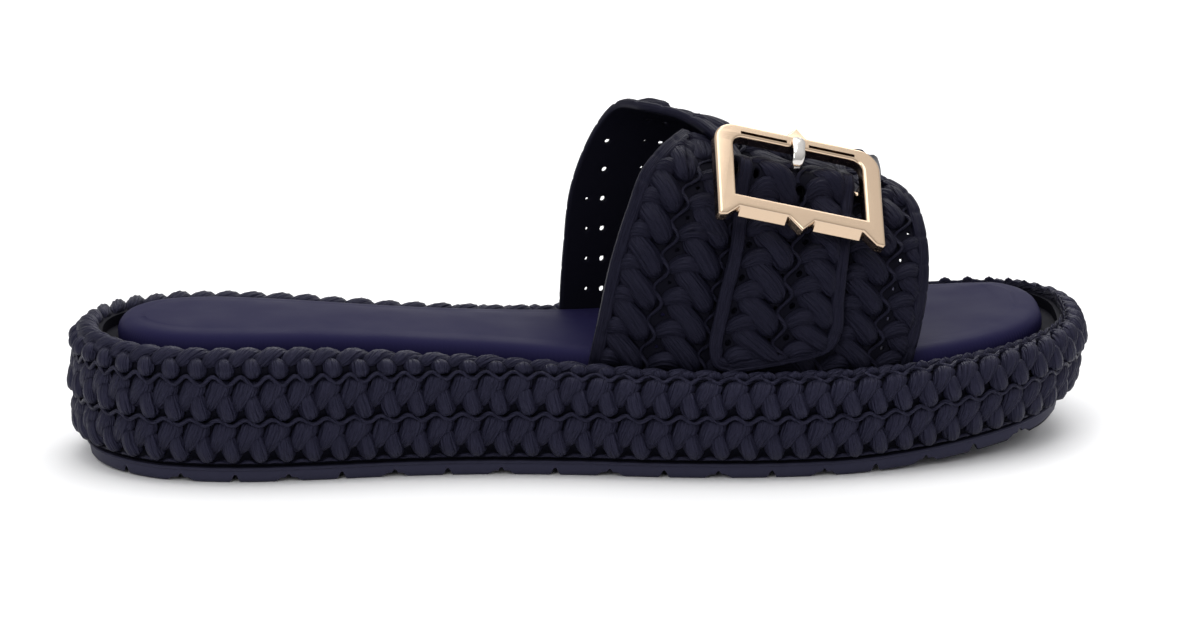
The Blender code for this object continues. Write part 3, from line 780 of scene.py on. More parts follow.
def thread(name, path, radius, lay, material, closed):
    """A round thread along a flat path of x, y and height, all in mm."""
    path = np.asarray(path)
    ahead = np.roll(path, -1, axis=0) if closed else np.gradient(path, axis=0) + path
    behind = np.roll(path, 1, axis=0) if closed else path - np.gradient(path, axis=0)
    along = ahead - behind
    if closed:
        along[0] = along[1]
        along[-1] = along[-2]
    side = np.stack([along[:, 1], -along[:, 0]], axis=-1)
    side /= np.linalg.norm(side, axis=-1, keepdims=True)
    angle = np.linspace(0, 2 * math.pi, THREAD_SIDES, endpoint=False)
    x = path[:, :1] + radius * side[:, :1] * np.cos(angle)
    y = path[:, 1:2] + radius * side[:, 1:] * np.cos(angle)
    lift = path[:, 2:] + radius * np.sin(angle)
    points = lay(x, y, lift)
    run = np.arange(len(path))[:, None] * np.linalg.norm(path[1] - path[0])
    fibres = np.stack([radius * angle + 0.3 * run, run + 0 * angle], axis=-1)
    faces = grid_faces(len(path), THREAD_SIDES, round_rows=closed, round_columns=True)
    if not closed:
        faces.append(list(range(THREAD_SIDES))[::-1])
        faces.append([(len(path) - 1) * THREAD_SIDES + k for k in range(THREAD_SIDES)])
    return mesh_piece(name, points, faces, material, flat=fibres)


# %% Three wavy threads


def wave_path(row_slide, wave, height):
    """One wave to a stitch, all round the sole: its shift, half height and lift in mm."""
    steps = STITCHES * THREAD_STEPS
    x = np.arange(steps) / steps * CELL_WIDE * STITCHES
    turn = 2 * math.pi * (x - row_slide) / CELL_WIDE
    y = wave * np.cos(turn)
    return np.stack([x, y, np.full(steps, height)], axis=-1)


for row, name, wave in ((1, "middle", 0.8), (2, "rim", 1.2)):
    path = wave_path(ROW_SLIDE * row + 4.2, wave, 1.1)
    path[:, 1] += 0.1
    thread("braid_thread_" + name, path, 0.6, lay_on_wall(row), platform_strands, True)
path = wave_path(4.0, 0.55, 1.1)
path[:, 1] += -0.2
thread("braid_thread_low", path, 0.5, lay_on_wall(0), platform_strands, True)

# %% [markdown]
# ## Tread
#
# The tread is a thin sheet of denser rubber. Its side is plain, and one fine raised line runs
# round it. Underneath, a narrow notch crosses the sole every 14 mm, and every second notch sits in
# a shallow wave. Booleans could cut the notches. Here the sheet is a dense grid whose underside is
# raised where a notch lies, which keeps its faces even.

# %% Notches and waves
NOTCH_FIRST = 25.4 * MM
NOTCH_STEP = 14.0 * MM
NOTCH_DEEP = 2.2 * MM
NOTCH_HALF = 1.3 * MM
WAVE_DEEP = 1.2 * MM
WAVE_HALF = 3.6 * MM


def tread_relief(x):
    """How far the underside is raised at a place along the sole."""
    step = (x - NOTCH_FIRST) / NOTCH_STEP
    near = np.abs(step - np.round(step)) * NOTCH_STEP
    notch = NOTCH_DEEP * np.clip(1.25 - 1.25 * near / NOTCH_HALF, 0, 1)
    pair = step / 2
    far = np.abs(pair - np.round(pair)) * 2 * NOTCH_STEP
    wave = WAVE_DEEP * np.clip(2.4 - 2.4 * far / WAVE_HALF, 0, 1)
    inside = (x > NOTCH_FIRST - NOTCH_STEP) & (x < NOTCH_FIRST + 18 * NOTCH_STEP)
    return np.where(inside, np.maximum(notch, wave), 0.0)


# %% Edge of the tread
TREAD_COLUMNS = 1400
TREAD_LANES = 12
TREAD_INSET = 3.2 * MM

# height above the ground and inset in mm, from the top down; the raised line is at 3.8 mm
TREAD_EDGE = (
    (4.25, 1.4), (4.25, 0.2), (4.15, -0.25), (3.8, -0.5), (3.45, -0.25), (3.3, 0.3),
    (1.6, 0.4), (0.6, 0.6), (0.15, 1.0), (0.0, 1.7),
)


def tread_rings():
    share = np.arange(TREAD_COLUMNS) / TREAD_COLUMNS
    x_share = line_at(share)[:, 0] / LENGTH
    ground = underside(x_share)
    edge = TREAD_INSET + TOE_TUCK * toward_toe(x_share)
    rings = []
    for height, inset in TREAD_EDGE:
        flat = inset_line(share, edge + inset * MM)
        raised = ground + tread_relief(flat[:, 0])
        z = np.maximum(ground + height * MM, raised)
        rings.append(np.column_stack([flat, z]) + np.array(TO_ORIGIN))
    return rings[::-1]


# %% Tread sheet


def tread_piece():
    rings = tread_rings()
    columns = len(rings[0])
    points = list(rings)
    faces = grid_faces(len(rings), columns, round_columns=True)
    half = columns // 2
    low = rings[0] - np.array(TO_ORIGIN)
    right = low[(columns - np.arange(half + 1)) % columns]
    left = low[np.arange(half + 1)]
    share = np.linspace(0, 1, TREAD_LANES + 1)[None, :, None]
    sheet = left[:, None] * (1 - share) + right[:, None] * share
    sheet[..., 2] = underside(sheet[..., 0] / LENGTH) + tread_relief(sheet[..., 0])
    first = len(rings) * columns
    points.append(sheet.reshape(-1, 3) + np.array(TO_ORIGIN))
    faces += [[corner + first for corner in face] for face in grid_faces(half + 1, TREAD_LANES + 1)]
    top = (len(rings) - 1) * columns
    for i in range(half):
        strip = list(dict.fromkeys([i, i + 1, columns - i - 1, (columns - i) % columns]))
        faces.append([top + k for k in reversed(strip)])
    return mesh_piece("tread_sheet", np.concatenate(points), faces, tread_rubber, 40)


tread = tread_piece()
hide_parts("outsole")

# %% [markdown]
# ## Footbed
#
# The footbed is one smooth pad of softer foam in a slate violet. Its top edge is rounded over,
# and its short side shows fine upright ribs, the marks of the tool that cut the mould. Rings make
# the side. The top is one sheet across the last ring, raised by its distance from the edge, so
# that no crease shows where the rings end.

# %% Side of the footbed
FOOTBED_COLUMNS = 1440
RIB_COLUMNS = 3
RIB_DEEP = 0.12 * MM

CROWN = 0.9 * MM
CROWN_REACH = 12 * MM

# share of the side's height, inset from the slot's wall in mm
FOOTBED_EDGE = (
    (0.00, 0.8), (0.08, 0.1), (0.20, 0.0), (0.45, 0.0), (0.62, 0.3), (0.76, 0.9), (0.87, 1.8),
    (0.95, 3.2), (0.99, 5.2), (1.00, 7.2),
)


def footbed_rings():
    share = np.arange(FOOTBED_COLUMNS) / FOOTBED_COLUMNS
    x_share = line_at(share)[:, 0] / LENGTH
    rim = smooth(STATIONS, x_share, 2) * MM
    top = smooth(STATIONS, x_share, 3) * MM
    width = smooth(RIM, x_share) * MM + SLOT_WIDTH
    floor = rim - SLOT_DEPTH + FIT_GAP
    brow = top - CROWN
    ribs = RIB_DEEP * np.cos(2 * math.pi * np.arange(FOOTBED_COLUMNS) / RIB_COLUMNS)
    rings = []
    for up, inset in FOOTBED_EDGE:
        ribbed = ribs if 0.1 < up < 0.7 else 0.0
        flat = inset_line(share, width + inset * MM + ribbed)
        rings.append(np.column_stack([flat, floor + up * (brow - floor)]) + np.array(TO_ORIGIN))
    return rings, brow, top


side_steps = np.linalg.norm(np.diff(footbed_rings()[0][0], axis=0), axis=1)
print("one rib of the footbed:", round(RIB_COLUMNS * side_steps.mean() / MM, 1), "mm")

# %% Footbed pad


def sheet_across(ring, lanes):
    """Points of a sheet that spans a ring from its one side to the other."""
    columns = len(ring)
    half = columns // 2
    left = ring[: half + 1]
    right = ring[(columns - np.arange(half + 1)) % columns]
    share = 0.5 - 0.5 * np.cos(np.linspace(0, math.pi, lanes + 1))[None, :, None]
    return left[:, None] * (1 - share) + right[:, None] * share


def footbed_piece():
    rings, brow, top = footbed_rings()
    edge = rings[-1]
    sheet = sheet_across(edge, 24)
    to_side = np.minimum(sheet[..., 1] - sheet[:, -1:, 1], sheet[:, :1, 1] - sheet[..., 1])
    to_side = np.abs(to_side)
    to_end = np.minimum(sheet[..., 0] - edge[:, 0].min(), edge[:, 0].max() - sheet[..., 0])
    near = to_side * to_end / (to_side + to_end + 1e-9)
    share = np.clip(near / CROWN_REACH, 0, 1)
    crown = (top - brow)[: sheet.shape[0], None]
    sheet[..., 2] += crown * (1 - (1 - share) ** 2)
    columns = len(edge)
    faces = grid_faces(len(rings), columns, round_columns=True)
    for i in range(columns // 2):
        faces.append(list(dict.fromkeys([i, i + 1, columns - i - 1, (columns - i) % columns])))
    first = len(rings) * columns
    faces += [[corner + first for corner in face] for face in grid_faces(*sheet.shape[:2])]
    points = np.concatenate(rings + [sheet.reshape(-1, 3)])
    return mesh_piece("footbed_pad", points, faces, footbed_foam)


footbed = footbed_piece()
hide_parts("insole")

# %% [markdown]
# ## The last
#
# The band and the panel are moulded over a last. Each cross-section is an arch from the slot on
# the inner side, over the instep, to the slot on the outer side. The arch gets lower towards the
# toes. A place on it is given by the way along the foot and the share of the way round. A
# sculpted form could look as good, but only a grid lets plaits be laid on it by measure.

# %% Last as a surface
APEX_ACROSS = 5 * MM
SHOULDER_INNER = 2.5
SHOULDER_OUTER = 2.6
SLOT_FLOOR_GAP = 0.45 * MM
LAST_REAR = 0.44
LAST_FRONT = 0.88

# Inner height above the slot in mm: share of LENGTH, height
ARCH = (
    (0.450, 67.0),
    (0.500, 66.0),
    (0.540, 65.0),
    (0.574, 63.2),
    (0.640, 57.0),
    (0.700, 51.6),
    (0.760, 48.4),
    (0.800, 46.6),
    (0.860, 41.5),
)


def last_grid():
    share = np.arange(800) / 800
    x_share = line_at(share)[:, 0] / LENGTH
    width = smooth(RIM, x_share) * MM + SLOT_WIDTH - FIT_GAP
    foot = inset_line(share, width)
    inner = foot[:400]
    outer = foot[400:][::-1]
    turn = np.linspace(0, 0.5 * math.pi, 90)
    stations = np.linspace(LAST_REAR, LAST_FRONT, 150)
    grid = []
    girths = []
    for station in stations:
        x = station * LENGTH
        near = np.interp(x, inner[:, 0], inner[:, 1])
        far = np.interp(x, outer[:, 0], outer[:, 1])
        base = float(smooth(STATIONS, station, 2)) * MM - SLOT_DEPTH + SLOT_FLOOR_GAP
        high = float(smooth(ARCH, station)) * MM
        flank = [
            (edge, 2 / shoulder, angles)
            for edge, shoulder, angles in (
                (near, SHOULDER_INNER, turn),
                (far, SHOULDER_OUTER, turn[::-1][1:]),
            )
        ]
        y = np.concatenate([APEX_ACROSS + (e - APEX_ACROSS) * np.cos(a) ** p for e, p, a in flank])
        z = np.concatenate([base + high * np.sin(a) ** p for e, p, a in flank])
        run = np.concatenate([[0], np.cumsum(np.hypot(np.diff(y), np.diff(z)))])
        even = np.linspace(0, run[-1], 241)
        y = np.interp(even, run, y)
        z = np.interp(even, run, z)
        grid.append(np.stack([np.full(241, x), y, z], axis=-1) + np.array(TO_ORIGIN))
        girths.append(run[-1])
    return np.array(grid), stations, np.array(girths)


# %% A place on the last
last_points, last_stations, last_girths = last_grid()
last = Surface(last_points)
if last.out[75, 120, 2] < 0:
    last.out = -last.out


def on_last(x, around, lift):
    """x along the foot in metres from the heel, the share of the way round, and a height."""
    u = (x / LENGTH - LAST_REAR) / (LAST_FRONT - LAST_REAR)
    return last.at(u, around, lift)


print("last grid:", last.points.shape[:2])

# %% [markdown]
# ## Where the band and the panel lie
#
# The band starts wide on the inner side and narrows to the strap that hangs over the outer side.
# The panel comes up the outer side, under the strap. Two tables give their edges. The strap leaves
# the last near the top to lie over the panel, and rises once more over the buckle's hidden bar.

# %% Edges of the band and the panel
BUCKLE_ALONG = 0.683
BUCKLE_AROUND = 0.670
STRAP_SLANT = 0.028
STRAP_LIFT = 2.8 * MM
BAR_LIFT = 4.6 * MM
BAR_REACH = 4.0 * MM
BAR_TILT = 0.07
AXLE_UP = 3.0 * MM
girth_here = float(np.interp(BUCKLE_ALONG, last_stations, last_girths))

# share of the way round, rear and front edge as shares of LENGTH
BAND_EDGES = (
    (0.000, 0.486, 0.812),
    (0.140, 0.491, 0.818),
    (0.260, 0.499, 0.818),
    (0.360, 0.520, 0.808),
    (0.430, 0.542, 0.797),
    (0.480, 0.562, 0.787),
    (0.520, 0.590, 0.775),
    (0.570, 0.616, 0.752),
    (0.620, 0.628, 0.747),
    (0.680, 0.629, 0.747),
    (0.760, 0.625, 0.740),
    (0.870, 0.610, 0.730),
    (0.945, 0.604, 0.724),
    (0.960, 0.606, 0.719),
    (0.971, 0.612, 0.710),
    (0.978, 0.624, 0.696),
)
PANEL_EDGES = (
    (0.55, 0.588, 0.775),
    (0.57, 0.580, 0.785),
    (0.61, 0.562, 0.804),
    (0.65, 0.545, 0.814),
    (0.71, 0.530, 0.819),
    (0.80, 0.512, 0.819),
    (0.90, 0.499, 0.810),
    (1.00, 0.487, 0.796),
)
axle_around = BUCKLE_AROUND - AXLE_UP / girth_here


# %% Lift and edges of each wall


def band_lift(x, around):
    """The strap leaves the last near the top, lies over the panel and rises over the buckle's bar."""
    rise = np.clip((around - 0.44) / 0.10, 0, 1)
    away = (around - axle_around) * girth_here / BAR_REACH
    over_bar = BAR_LIFT - BAR_TILT * (x - BUCKLE_ALONG * LENGTH)
    return STRAP_LIFT * rise * rise * (3 - 2 * rise) + over_bar * np.exp(-away * away)


def panel_lift(x, around):
    return 0.0 * x


class Sheet:
    """One wall on the last: its edges, its lift, and how far its rows slant."""

    def __init__(self, edges, lift, slant, mark):
        self.edges = edges
        self.lift = lift
        self.slant = slant
        self.mark = mark
        self.start = edges[0][0]
        self.end = edges[-1][0]

    def rear(self, around):
        return smooth(self.edges, around, 1) * LENGTH

    def front(self, around):
        return smooth(self.edges, around, 2) * LENGTH

    def point(self, x, around, lift):
        """A point above the wall's inner face."""
        rear = self.rear(around)
        front = self.front(around)
        part = (around - self.start) / (self.end - self.start)
        turned = around - self.slant * part * (x - rear) / (front - rear)
        return on_last(x, turned, self.lift(x, turned) + lift)


band = Sheet(BAND_EDGES, band_lift, STRAP_SLANT, 0.629 * LENGTH)
panel = Sheet(PANEL_EDGES, panel_lift, 0.0, None)
print("girth at the buckle:", round(girth_here / MM), "mm")

# %% [markdown]
# ## Walls of the band and the panel
#
# Each wall is 1.2 mm of foam, plain inside. Beside every cord the mould leaves a small hole right
# through it. The wall is a fine grid; the cells in a hole are taken out, and the points round it
# are pushed onto a circle, so that the hole is round. Solidify then gives the grid its thickness,
# with the lining's finish on its inner face. Cutting over a hundred holes with Booleans would
# take longer and leave ragged faces.

# %% Places of the holes
WALL = 1.2
PLAIT_WIDE = 14.8
PLAIT_STEP = 8.0
BORDER = 3.4
CORD_BAND = 17.4
CORD_PANEL = 14.0
ROUND_MM = girth_here / MM
PIN_HOLE = 1.7
PIN_HOLE_PLACE = (16.9, (BUCKLE_AROUND + 0.014) * girth_here / MM)

# place in its cell and radius of each hole, in mm
BAND_HOLES = ((2.0, 2.3, 0.8), (-2.4, 2.5, 0.55))
PANEL_HOLES = ((2.0, 2.3, 0.6),)


def cords_of(sheet):
    """Places of the cords in mm from the sheet's mark line."""
    if sheet is band:
        return [CORD_BAND + PLAIT_WIDE * k for k in range(-4, 4)]
    return [CORD_PANEL + PLAIT_WIDE * k for k in range(5)]


def mark_at(sheet, around):
    """The line that the cords follow: the rear edge, or a straight line up the far side of the band."""
    rear = sheet.rear(np.clip(around, sheet.start, sheet.end))
    if sheet.mark is None:
        return rear
    return np.where(np.asarray(around) < 0.65, sheet.mark - 2 * MM * np.clip(2 - 4 * around, 0, 1), rear)


def hole_places(sheet):
    """The through holes: mm from the mark line, mm round, and the radius."""
    rows = int((sheet.end - sheet.start) * ROUND_MM / PLAIT_STEP)
    places = [
        (cord + right, sheet.start * ROUND_MM + PLAIT_STEP * row + down, radius)
        for cord in cords_of(sheet)
        for row in range(-1, rows)
        for right, down, radius in (BAND_HOLES if sheet is band else PANEL_HOLES)
    ]
    if sheet is band:
        places = [place for place in places if math.dist(place[:2], PIN_HOLE_PLACE) > 4.5]
        places.append((*PIN_HOLE_PLACE, PIN_HOLE))
    return places


print("holes planned in the band:", len(hole_places(band)), "and in the panel:", len(hole_places(panel)))

# %% Grid with round holes
HOLE_FREE_END = 6.0


def wall_piece(name, sheet, cells_across, cells_round):
    around = np.linspace(sheet.start, sheet.end, cells_round + 1)[:, None]
    rear = sheet.rear(around)
    front = sheet.front(around)
    share = np.linspace(0, 1, cells_across + 1)[None, :]
    x = rear + share * (front - rear)
    mark = mark_at(sheet, around)
    flat_x = (x - mark) / MM
    flat_y = np.broadcast_to(around * ROUND_MM, x.shape).copy()
    keep = np.ones((cells_round, cells_across), bool)
    middle_x = 0.25 * (flat_x[:-1, :-1] + flat_x[1:, :-1] + flat_x[:-1, 1:] + flat_x[1:, 1:])
    middle_y = 0.5 * (flat_y[:-1, :-1] + flat_y[1:, :-1])
    holes = 0
    for hole_x, hole_y, radius in hole_places(sheet):
        edge_near = np.interp(hole_y / ROUND_MM, around[:, 0], ((rear - mark) / MM)[:, 0]) + BORDER + 1
        edge_far = np.interp(hole_y / ROUND_MM, around[:, 0], ((front - mark) / MM)[:, 0]) - BORDER - 1
        low = sheet.start * ROUND_MM + HOLE_FREE_END
        high = sheet.end * ROUND_MM - HOLE_FREE_END
        if not (edge_near < hole_x < edge_far and low < hole_y < high):
            continue
        near = np.hypot(flat_x - hole_x, flat_y - hole_y)
        cut = np.hypot(middle_x - hole_x, middle_y - hole_y) < radius
        keep &= ~cut
        holes += 1
        touched = np.zeros(flat_x.shape, bool)
        for shift_i in (0, 1):
            for shift_j in (0, 1):
                touched[shift_i : shift_i + cells_round, shift_j : shift_j + cells_across] |= cut
        loose = touched & (near > 1e-6)
        scale = np.where(loose, radius / np.maximum(near, 1e-6), 1.0)
        flat_x = hole_x + (flat_x - hole_x) * scale
        flat_y = hole_y + (flat_y - hole_y) * scale
    moved = flat_y / ROUND_MM
    x = flat_x * MM + mark
    points = sheet.point(x, moved, 0.0)
    faces = np.array(grid_faces(cells_round + 1, cells_across + 1))[keep.reshape(-1)]
    used = np.unique(faces)
    order = np.full(points.shape[0] * points.shape[1], -1)
    order[used] = np.arange(len(used))
    # The outer face, seen between the strands, gets the foam with painted shade; the inner face gets the
    # lining.
    item = mesh_piece(name, points.reshape(-1, 3)[used], order[faces].tolist(), painted_shade_foam)
    if item.data.polygons[len(item.data.polygons) // 2].normal.z < 0:
        item.data.flip_normals()
    item.data.materials.append(lining_foam)
    solid = item.modifiers.new("wall", "SOLIDIFY")
    solid.thickness = WALL * MM
    solid.offset = 1.0
    solid.material_offset = 1
    print(name, "has", holes, "holes")
    return item


band_wall = wall_piece("band_wall", band, 130, 260)
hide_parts("band_strap")
panel_wall = wall_piece("panel_wall", panel, 96, 110)
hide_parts("side_panel")

# %% [markdown]
# ## The plaits
#
# Each plait has short strands that lie almost level on its left and arch a little, and long ones
# that run down to the right and end in a round bulb. Each long strand holds down the right end of
# a short one. The rows are 8 mm apart. The strands get low near an edge, so that the border
# ribbon covers their ends, and under the strap, where the panel is pressed flat.

# %% Plait tables
# share of the way, x and y in mm from the cell's upper left corner, half width, height
SHORT_STRAND = (
    (0.00, 0.6, 7.5, 0.7, 0.6),
    (0.15, 1.6, 6.8, 1.8, 1.3),
    (0.45, 4.4, 5.6, 2.6, 1.9),
    (0.75, 7.3, 5.9, 2.5, 1.5),
    (1.00, 9.6, 7.2, 1.4, 0.5),
)
LONG_STRAND = (
    (0.00, 3.2, -1.5, 1.5, 0.5),
    (0.15, 4.8, -0.2, 2.5, 1.2),
    (0.42, 8.0, 2.5, 2.9, 2.1),
    (0.72, 11.0, 5.5, 3.0, 2.3),
    (0.90, 12.9, 7.7, 2.4, 2.0),
    (0.97, 13.6, 8.7, 1.4, 1.3),
    (1.00, 13.9, 9.1, 0.5, 0.4),
)


# %% Lay strands on a wall


def lay_on_sheet(sheet, low_lift=None):
    """Turns flat places into points on a wall; strands are half as high where low_lift is true."""

    def lay(x, y, lift):
        around = y / ROUND_MM
        rear = sheet.rear(np.clip(around, sheet.start, sheet.end))
        front = sheet.front(np.clip(around, sheet.start, sheet.end))
        place = mark_at(sheet, around) + x * MM
        place = np.clip(place, rear + 1.6 * MM, front - 1.6 * MM)
        around = np.clip(around, sheet.start + 0.001, sheet.end - 0.012)
        room = np.minimum(place - rear, front - place) / MM
        lift = np.asarray(lift, dtype=float) * np.clip((room - 1.0) / 3.0, 0.25, 1.0)
        if low_lift is not None:
            lift = np.where(low_lift(place, around), lift * 0.5, lift)
        return sheet.point(place, around, (WALL + lift) * MM)

    return lay


def plait_cells(sheet):
    """Upper left corners of the cells that lie on the sheet."""
    cords = cords_of(sheet)
    rows = int((sheet.end - sheet.start) * ROUND_MM / PLAIT_STEP) + 2
    cells = []
    for cord in [cords[0] - PLAIT_WIDE] + list(cords):
        for row in range(-1, rows):
            y = sheet.start * ROUND_MM + PLAIT_STEP * row
            around = (y + 4) / ROUND_MM
            if not sheet.start - 0.02 < around < sheet.end - 0.004:
                continue
            here = float(np.clip(around, sheet.start, sheet.end))
            mark = float(mark_at(sheet, np.array(here)))
            rear = (float(sheet.rear(here)) - mark) / MM
            front = (float(sheet.front(here)) - mark) / MM
            cells.append((cord, y, rear, front))
    return np.array(cells)


def under_strap(x, around):
    """True where the strap or the buckle lies over the panel."""
    rear = band.rear(around) - 0.5 * MM
    front = band.front(around) + 0.5 * MM
    strap = (x > rear) & (x < front)
    up = (BUCKLE_AROUND - around) * girth_here
    buckle = (np.abs(x - BUCKLE_ALONG * LENGTH) < 26 * MM) & (up > -12 * MM)
    return strap | buckle


# %% Strands round the prong's hole


def over_pin_hole(shape, corners):
    """Which copies of a strand lie over the hole for the prong."""
    x = shape[0][None] + corners[:, 0, None, None] - PIN_HOLE_PLACE[0]
    y = shape[1][None] + corners[:, 1, None, None] - PIN_HOLE_PLACE[1]
    return np.hypot(x, y).min(axis=(1, 2)) < PIN_HOLE + 0.5


def pin_punch():
    """A round punch that stands on the strap where the prong goes through."""
    around = np.array(PIN_HOLE_PLACE[1] / ROUND_MM)
    place = mark_at(band, around) + PIN_HOLE_PLACE[0] * MM
    low = Vector(band.point(place, around, 0.0))
    high = Vector(band.point(place, around, 4.0 * MM))
    bpy.ops.mesh.primitive_cylinder_add(vertices=40, radius=PIN_HOLE * MM, depth=14 * MM)
    punch = bpy.context.object
    punch.location = high
    punch.rotation_euler = (high - low).to_track_quat("Z", "Y").to_euler()
    bpy.context.view_layer.update()
    return punch


# %% Plaits of the band and the panel


def plaits(name, sheet, low_lift=None):
    cells = plait_cells(sheet)
    lay = lay_on_sheet(sheet, low_lift)
    for part, table, ridges, height, steps in (
        ("short", SHORT_STRAND, 5, 0.32, 10),
        ("long", LONG_STRAND, 5, 0.32, 13),
    ):
        reach_low = min(row[1] for row in table) + 1.5
        reach_high = max(row[1] for row in table) - 1.5
        shown = (cells[:, 0] + reach_high > cells[:, 2] + BORDER) & (
            cells[:, 0] + reach_low < cells[:, 3] - BORDER
        )
        shape = strand_rings(table, ridges, height, steps)
        corners = cells[shown][:, :2]
        label = "_".join((name, part, "strands"))
        at_pin = over_pin_hole(shape, corners) if sheet is band else np.zeros(len(corners), bool)
        lay_strands(label, shape, corners[~at_pin], lay, upper_strands)
        if at_pin.any():
            pierced = lay_strands(label + "_at_pin", shape, corners[at_pin], lay, upper_strands)
            carve(pierced, pin_punch(), inside=True)


plaits("band", band)
plaits("panel", panel, under_strap)

# %% [markdown]
# ## Cords
#
# A thin cord winds down between two plaits and loops round each bulb. It is the thread function
# again, laid on the band's and the panel's walls, and it stops short of their edges.

# %% Cords
CORD_RADIUS = 0.5
CORD_SWING = 1.4


def cords(name, sheet, slot, low_lift=None):
    lay = lay_on_sheet(sheet, low_lift)
    low = sheet.start * ROUND_MM
    high = (sheet.end - 0.012) * ROUND_MM
    y = np.arange(low, high, 0.7)
    for number, cord in enumerate(cords_of(sheet)):
        around = y / ROUND_MM
        mark = mark_at(sheet, around)
        rear = (sheet.rear(around) - mark) / MM
        front = (sheet.front(around) - mark) / MM
        turn = 2 * math.pi * (y - low) / PLAIT_STEP
        swing = np.sin(turn + 1.96)
        x = cord - 0.2 + CORD_SWING * swing
        inside = (x > rear + BORDER - 1) & (x < front - BORDER + 1)
        runs = np.flatnonzero(np.diff(np.concatenate([[0], inside.astype(int), [0]])))
        for part, (first, stop) in enumerate(zip(runs[::2], runs[1::2])):
            if stop - first < 8:
                continue
            lift = 0.7 + 0.5 * swing[first:stop]
            path = np.stack([x[first:stop], y[first:stop], lift], axis=-1)
            label = "_".join((name, str(number), str(part)))
            laid = thread(label, path, CORD_RADIUS, lay, upper_strands, False)
            if sheet is band and abs(cord - PIN_HOLE_PLACE[0]) < 4:
                carve(laid, pin_punch())


cords("band_cord", band, "woven_upper")
cords("panel_cord", panel, "woven_upper", under_strap)

# %% [markdown]
# ## Borders
#
# A flat ribbon with rounded edges frames each wall. Every 8 mm it is pinched a little, where the
# pattern for the mould was stitched down. A section is swept along the wall's edge, as a bias
# tape is laid on by hand.

# %% Ribbon section and path
# place across in mm from the edge, height in mm
RIBBON = (
    (-0.15, 0.1), (-0.15, 1.6), (0.15, 2.3), (0.7, 2.6), (1.25, 2.5), (1.55, 2.35), (1.85, 2.5),
    (2.6, 2.6), (3.1, 2.3), (3.4, 1.6), (3.4, 0.9), (1.6, 0.3),
)


def edge_path(sheet, free_end):
    """Places along the sheet's edge: one side, across its free end, and back along the other side."""
    around = np.linspace(sheet.start, sheet.end, 150)
    rear = np.stack([sheet.rear(around), around], axis=-1)
    front = np.stack([sheet.front(around), around], axis=-1)
    share = np.linspace(0, 1, 24)[1:-1, None]
    if free_end == "far":
        across = rear[-1] * (1 - share) + front[-1] * share
        return np.concatenate([rear, across, front[::-1]])
    across = front[0] * (1 - share) + rear[0] * share
    return np.concatenate([front[::-1], across, rear])


# %% Border ribbons


def ribbon(name, sheet, path):
    """A ribbon along a path that has the wall on its right-hand side."""
    flat = np.stack([path[:, 0] / MM, path[:, 1] * ROUND_MM], axis=-1)
    along = np.gradient(flat, axis=0)
    along /= np.maximum(np.linalg.norm(along, axis=-1, keepdims=True), 1e-9)
    kernel = np.ones(5) / 5
    for column in (0, 1):
        padded = np.pad(along[:, column], 2, mode="edge")
        along[:, column] = np.convolve(padded, kernel, mode="valid")
    inward = np.stack([along[:, 1], -along[:, 0]], axis=-1)
    run = np.concatenate([[0], np.cumsum(np.linalg.norm(np.diff(flat, axis=0), axis=1))])
    even = np.arange(0, run[-1], 0.8)
    flat = np.stack([np.interp(even, run, flat[:, k]) for k in (0, 1)], axis=-1)
    inward = np.stack([np.interp(even, run, inward[:, k]) for k in (0, 1)], axis=-1)
    mark = np.exp(-((((even / PLAIT_STEP + 0.5) % 1.0 - 0.5) * PLAIT_STEP / 0.5) ** 2))
    across = np.array([row[0] for row in RIBBON])
    high = np.array([row[1] for row in RIBBON])
    x = (flat[:, :1] + inward[:, :1] * across) * MM
    around = (flat[:, 1:] + inward[:, 1:] * across) / ROUND_MM
    around = np.clip(around, sheet.start, sheet.end)
    dip = 0.35 * mark[:, None] * (high > 1.5)
    lift = (high - dip) * MM
    points = sheet.point(x, around, lift)
    sides = len(RIBBON)
    faces = grid_faces(len(even), sides, round_columns=True)
    faces.append(list(range(sides))[::-1])
    faces.append([(len(even) - 1) * sides + k for k in range(sides)])
    fibres = np.stack([0 * even[:, None] + across, 0.5 * even[:, None] + 0 * across], axis=-1)
    return mesh_piece(name, points, faces, upper_strands, flat=fibres)


ribbon("band_border_0", band, edge_path(band, "far"))
ribbon("panel_border_0", panel, edge_path(panel, "near"))

# %% [markdown]
# ## Metals of the buckle
#
# The frame is die-cast zinc, polished and plated in a pale gold. The prong is pressed steel with
# a bright nickel plate. Metals keep the default IOR: their colour and a low roughness make the
# finish. A perfect mirror would look drawn, so the face is very slightly wavy.

# %% Plated metals
# A polished casting keeps slight waves, about 6 mm long.
WAVES_PER_MM = 0.16

# Polishing marks are under 0.05 mm wide. They are drawn 0.3 mm wide, as a faint change of gloss.
MARKS_PER_MM = 3.0


def plated_metal(name, code, roughness, ripple):
    material, tree, shader = new_material(name, code, roughness, 1.0)
    place = node(tree, "ShaderNodeTexCoord")
    waves = node(
        tree, "ShaderNodeTexNoise", links={"Vector": place.outputs["Object"]},
        Scale=WAVES_PER_MM / MM, Detail=1.0,
    )
    bump = node(
        tree, "ShaderNodeBump", links={"Height": waves.outputs["Fac"]}, Strength=ripple, Distance=0.4 * MM
    )
    marks = node(
        tree, "ShaderNodeTexNoise", links={"Vector": place.outputs["Object"]},
        Scale=MARKS_PER_MM / MM, Detail=2.0,
    )
    worn = node(
        tree, "ShaderNodeMapRange", links={"Value": marks.outputs["Fac"]},
        To_Min=roughness - 0.03, To_Max=roughness + 0.05,
    )
    tree.links.new(bump.outputs["Normal"], shader.inputs["Normal"])
    tree.links.new(worn.outputs["Result"], shader.inputs["Roughness"])
    return material


# Pale gold plate on polished zinc: broad warm highlights that turn dark at the rounded edges.
gold = plated_metal("polished_gold_plated_zinc", "#CDB59C", 0.13, 0.04)
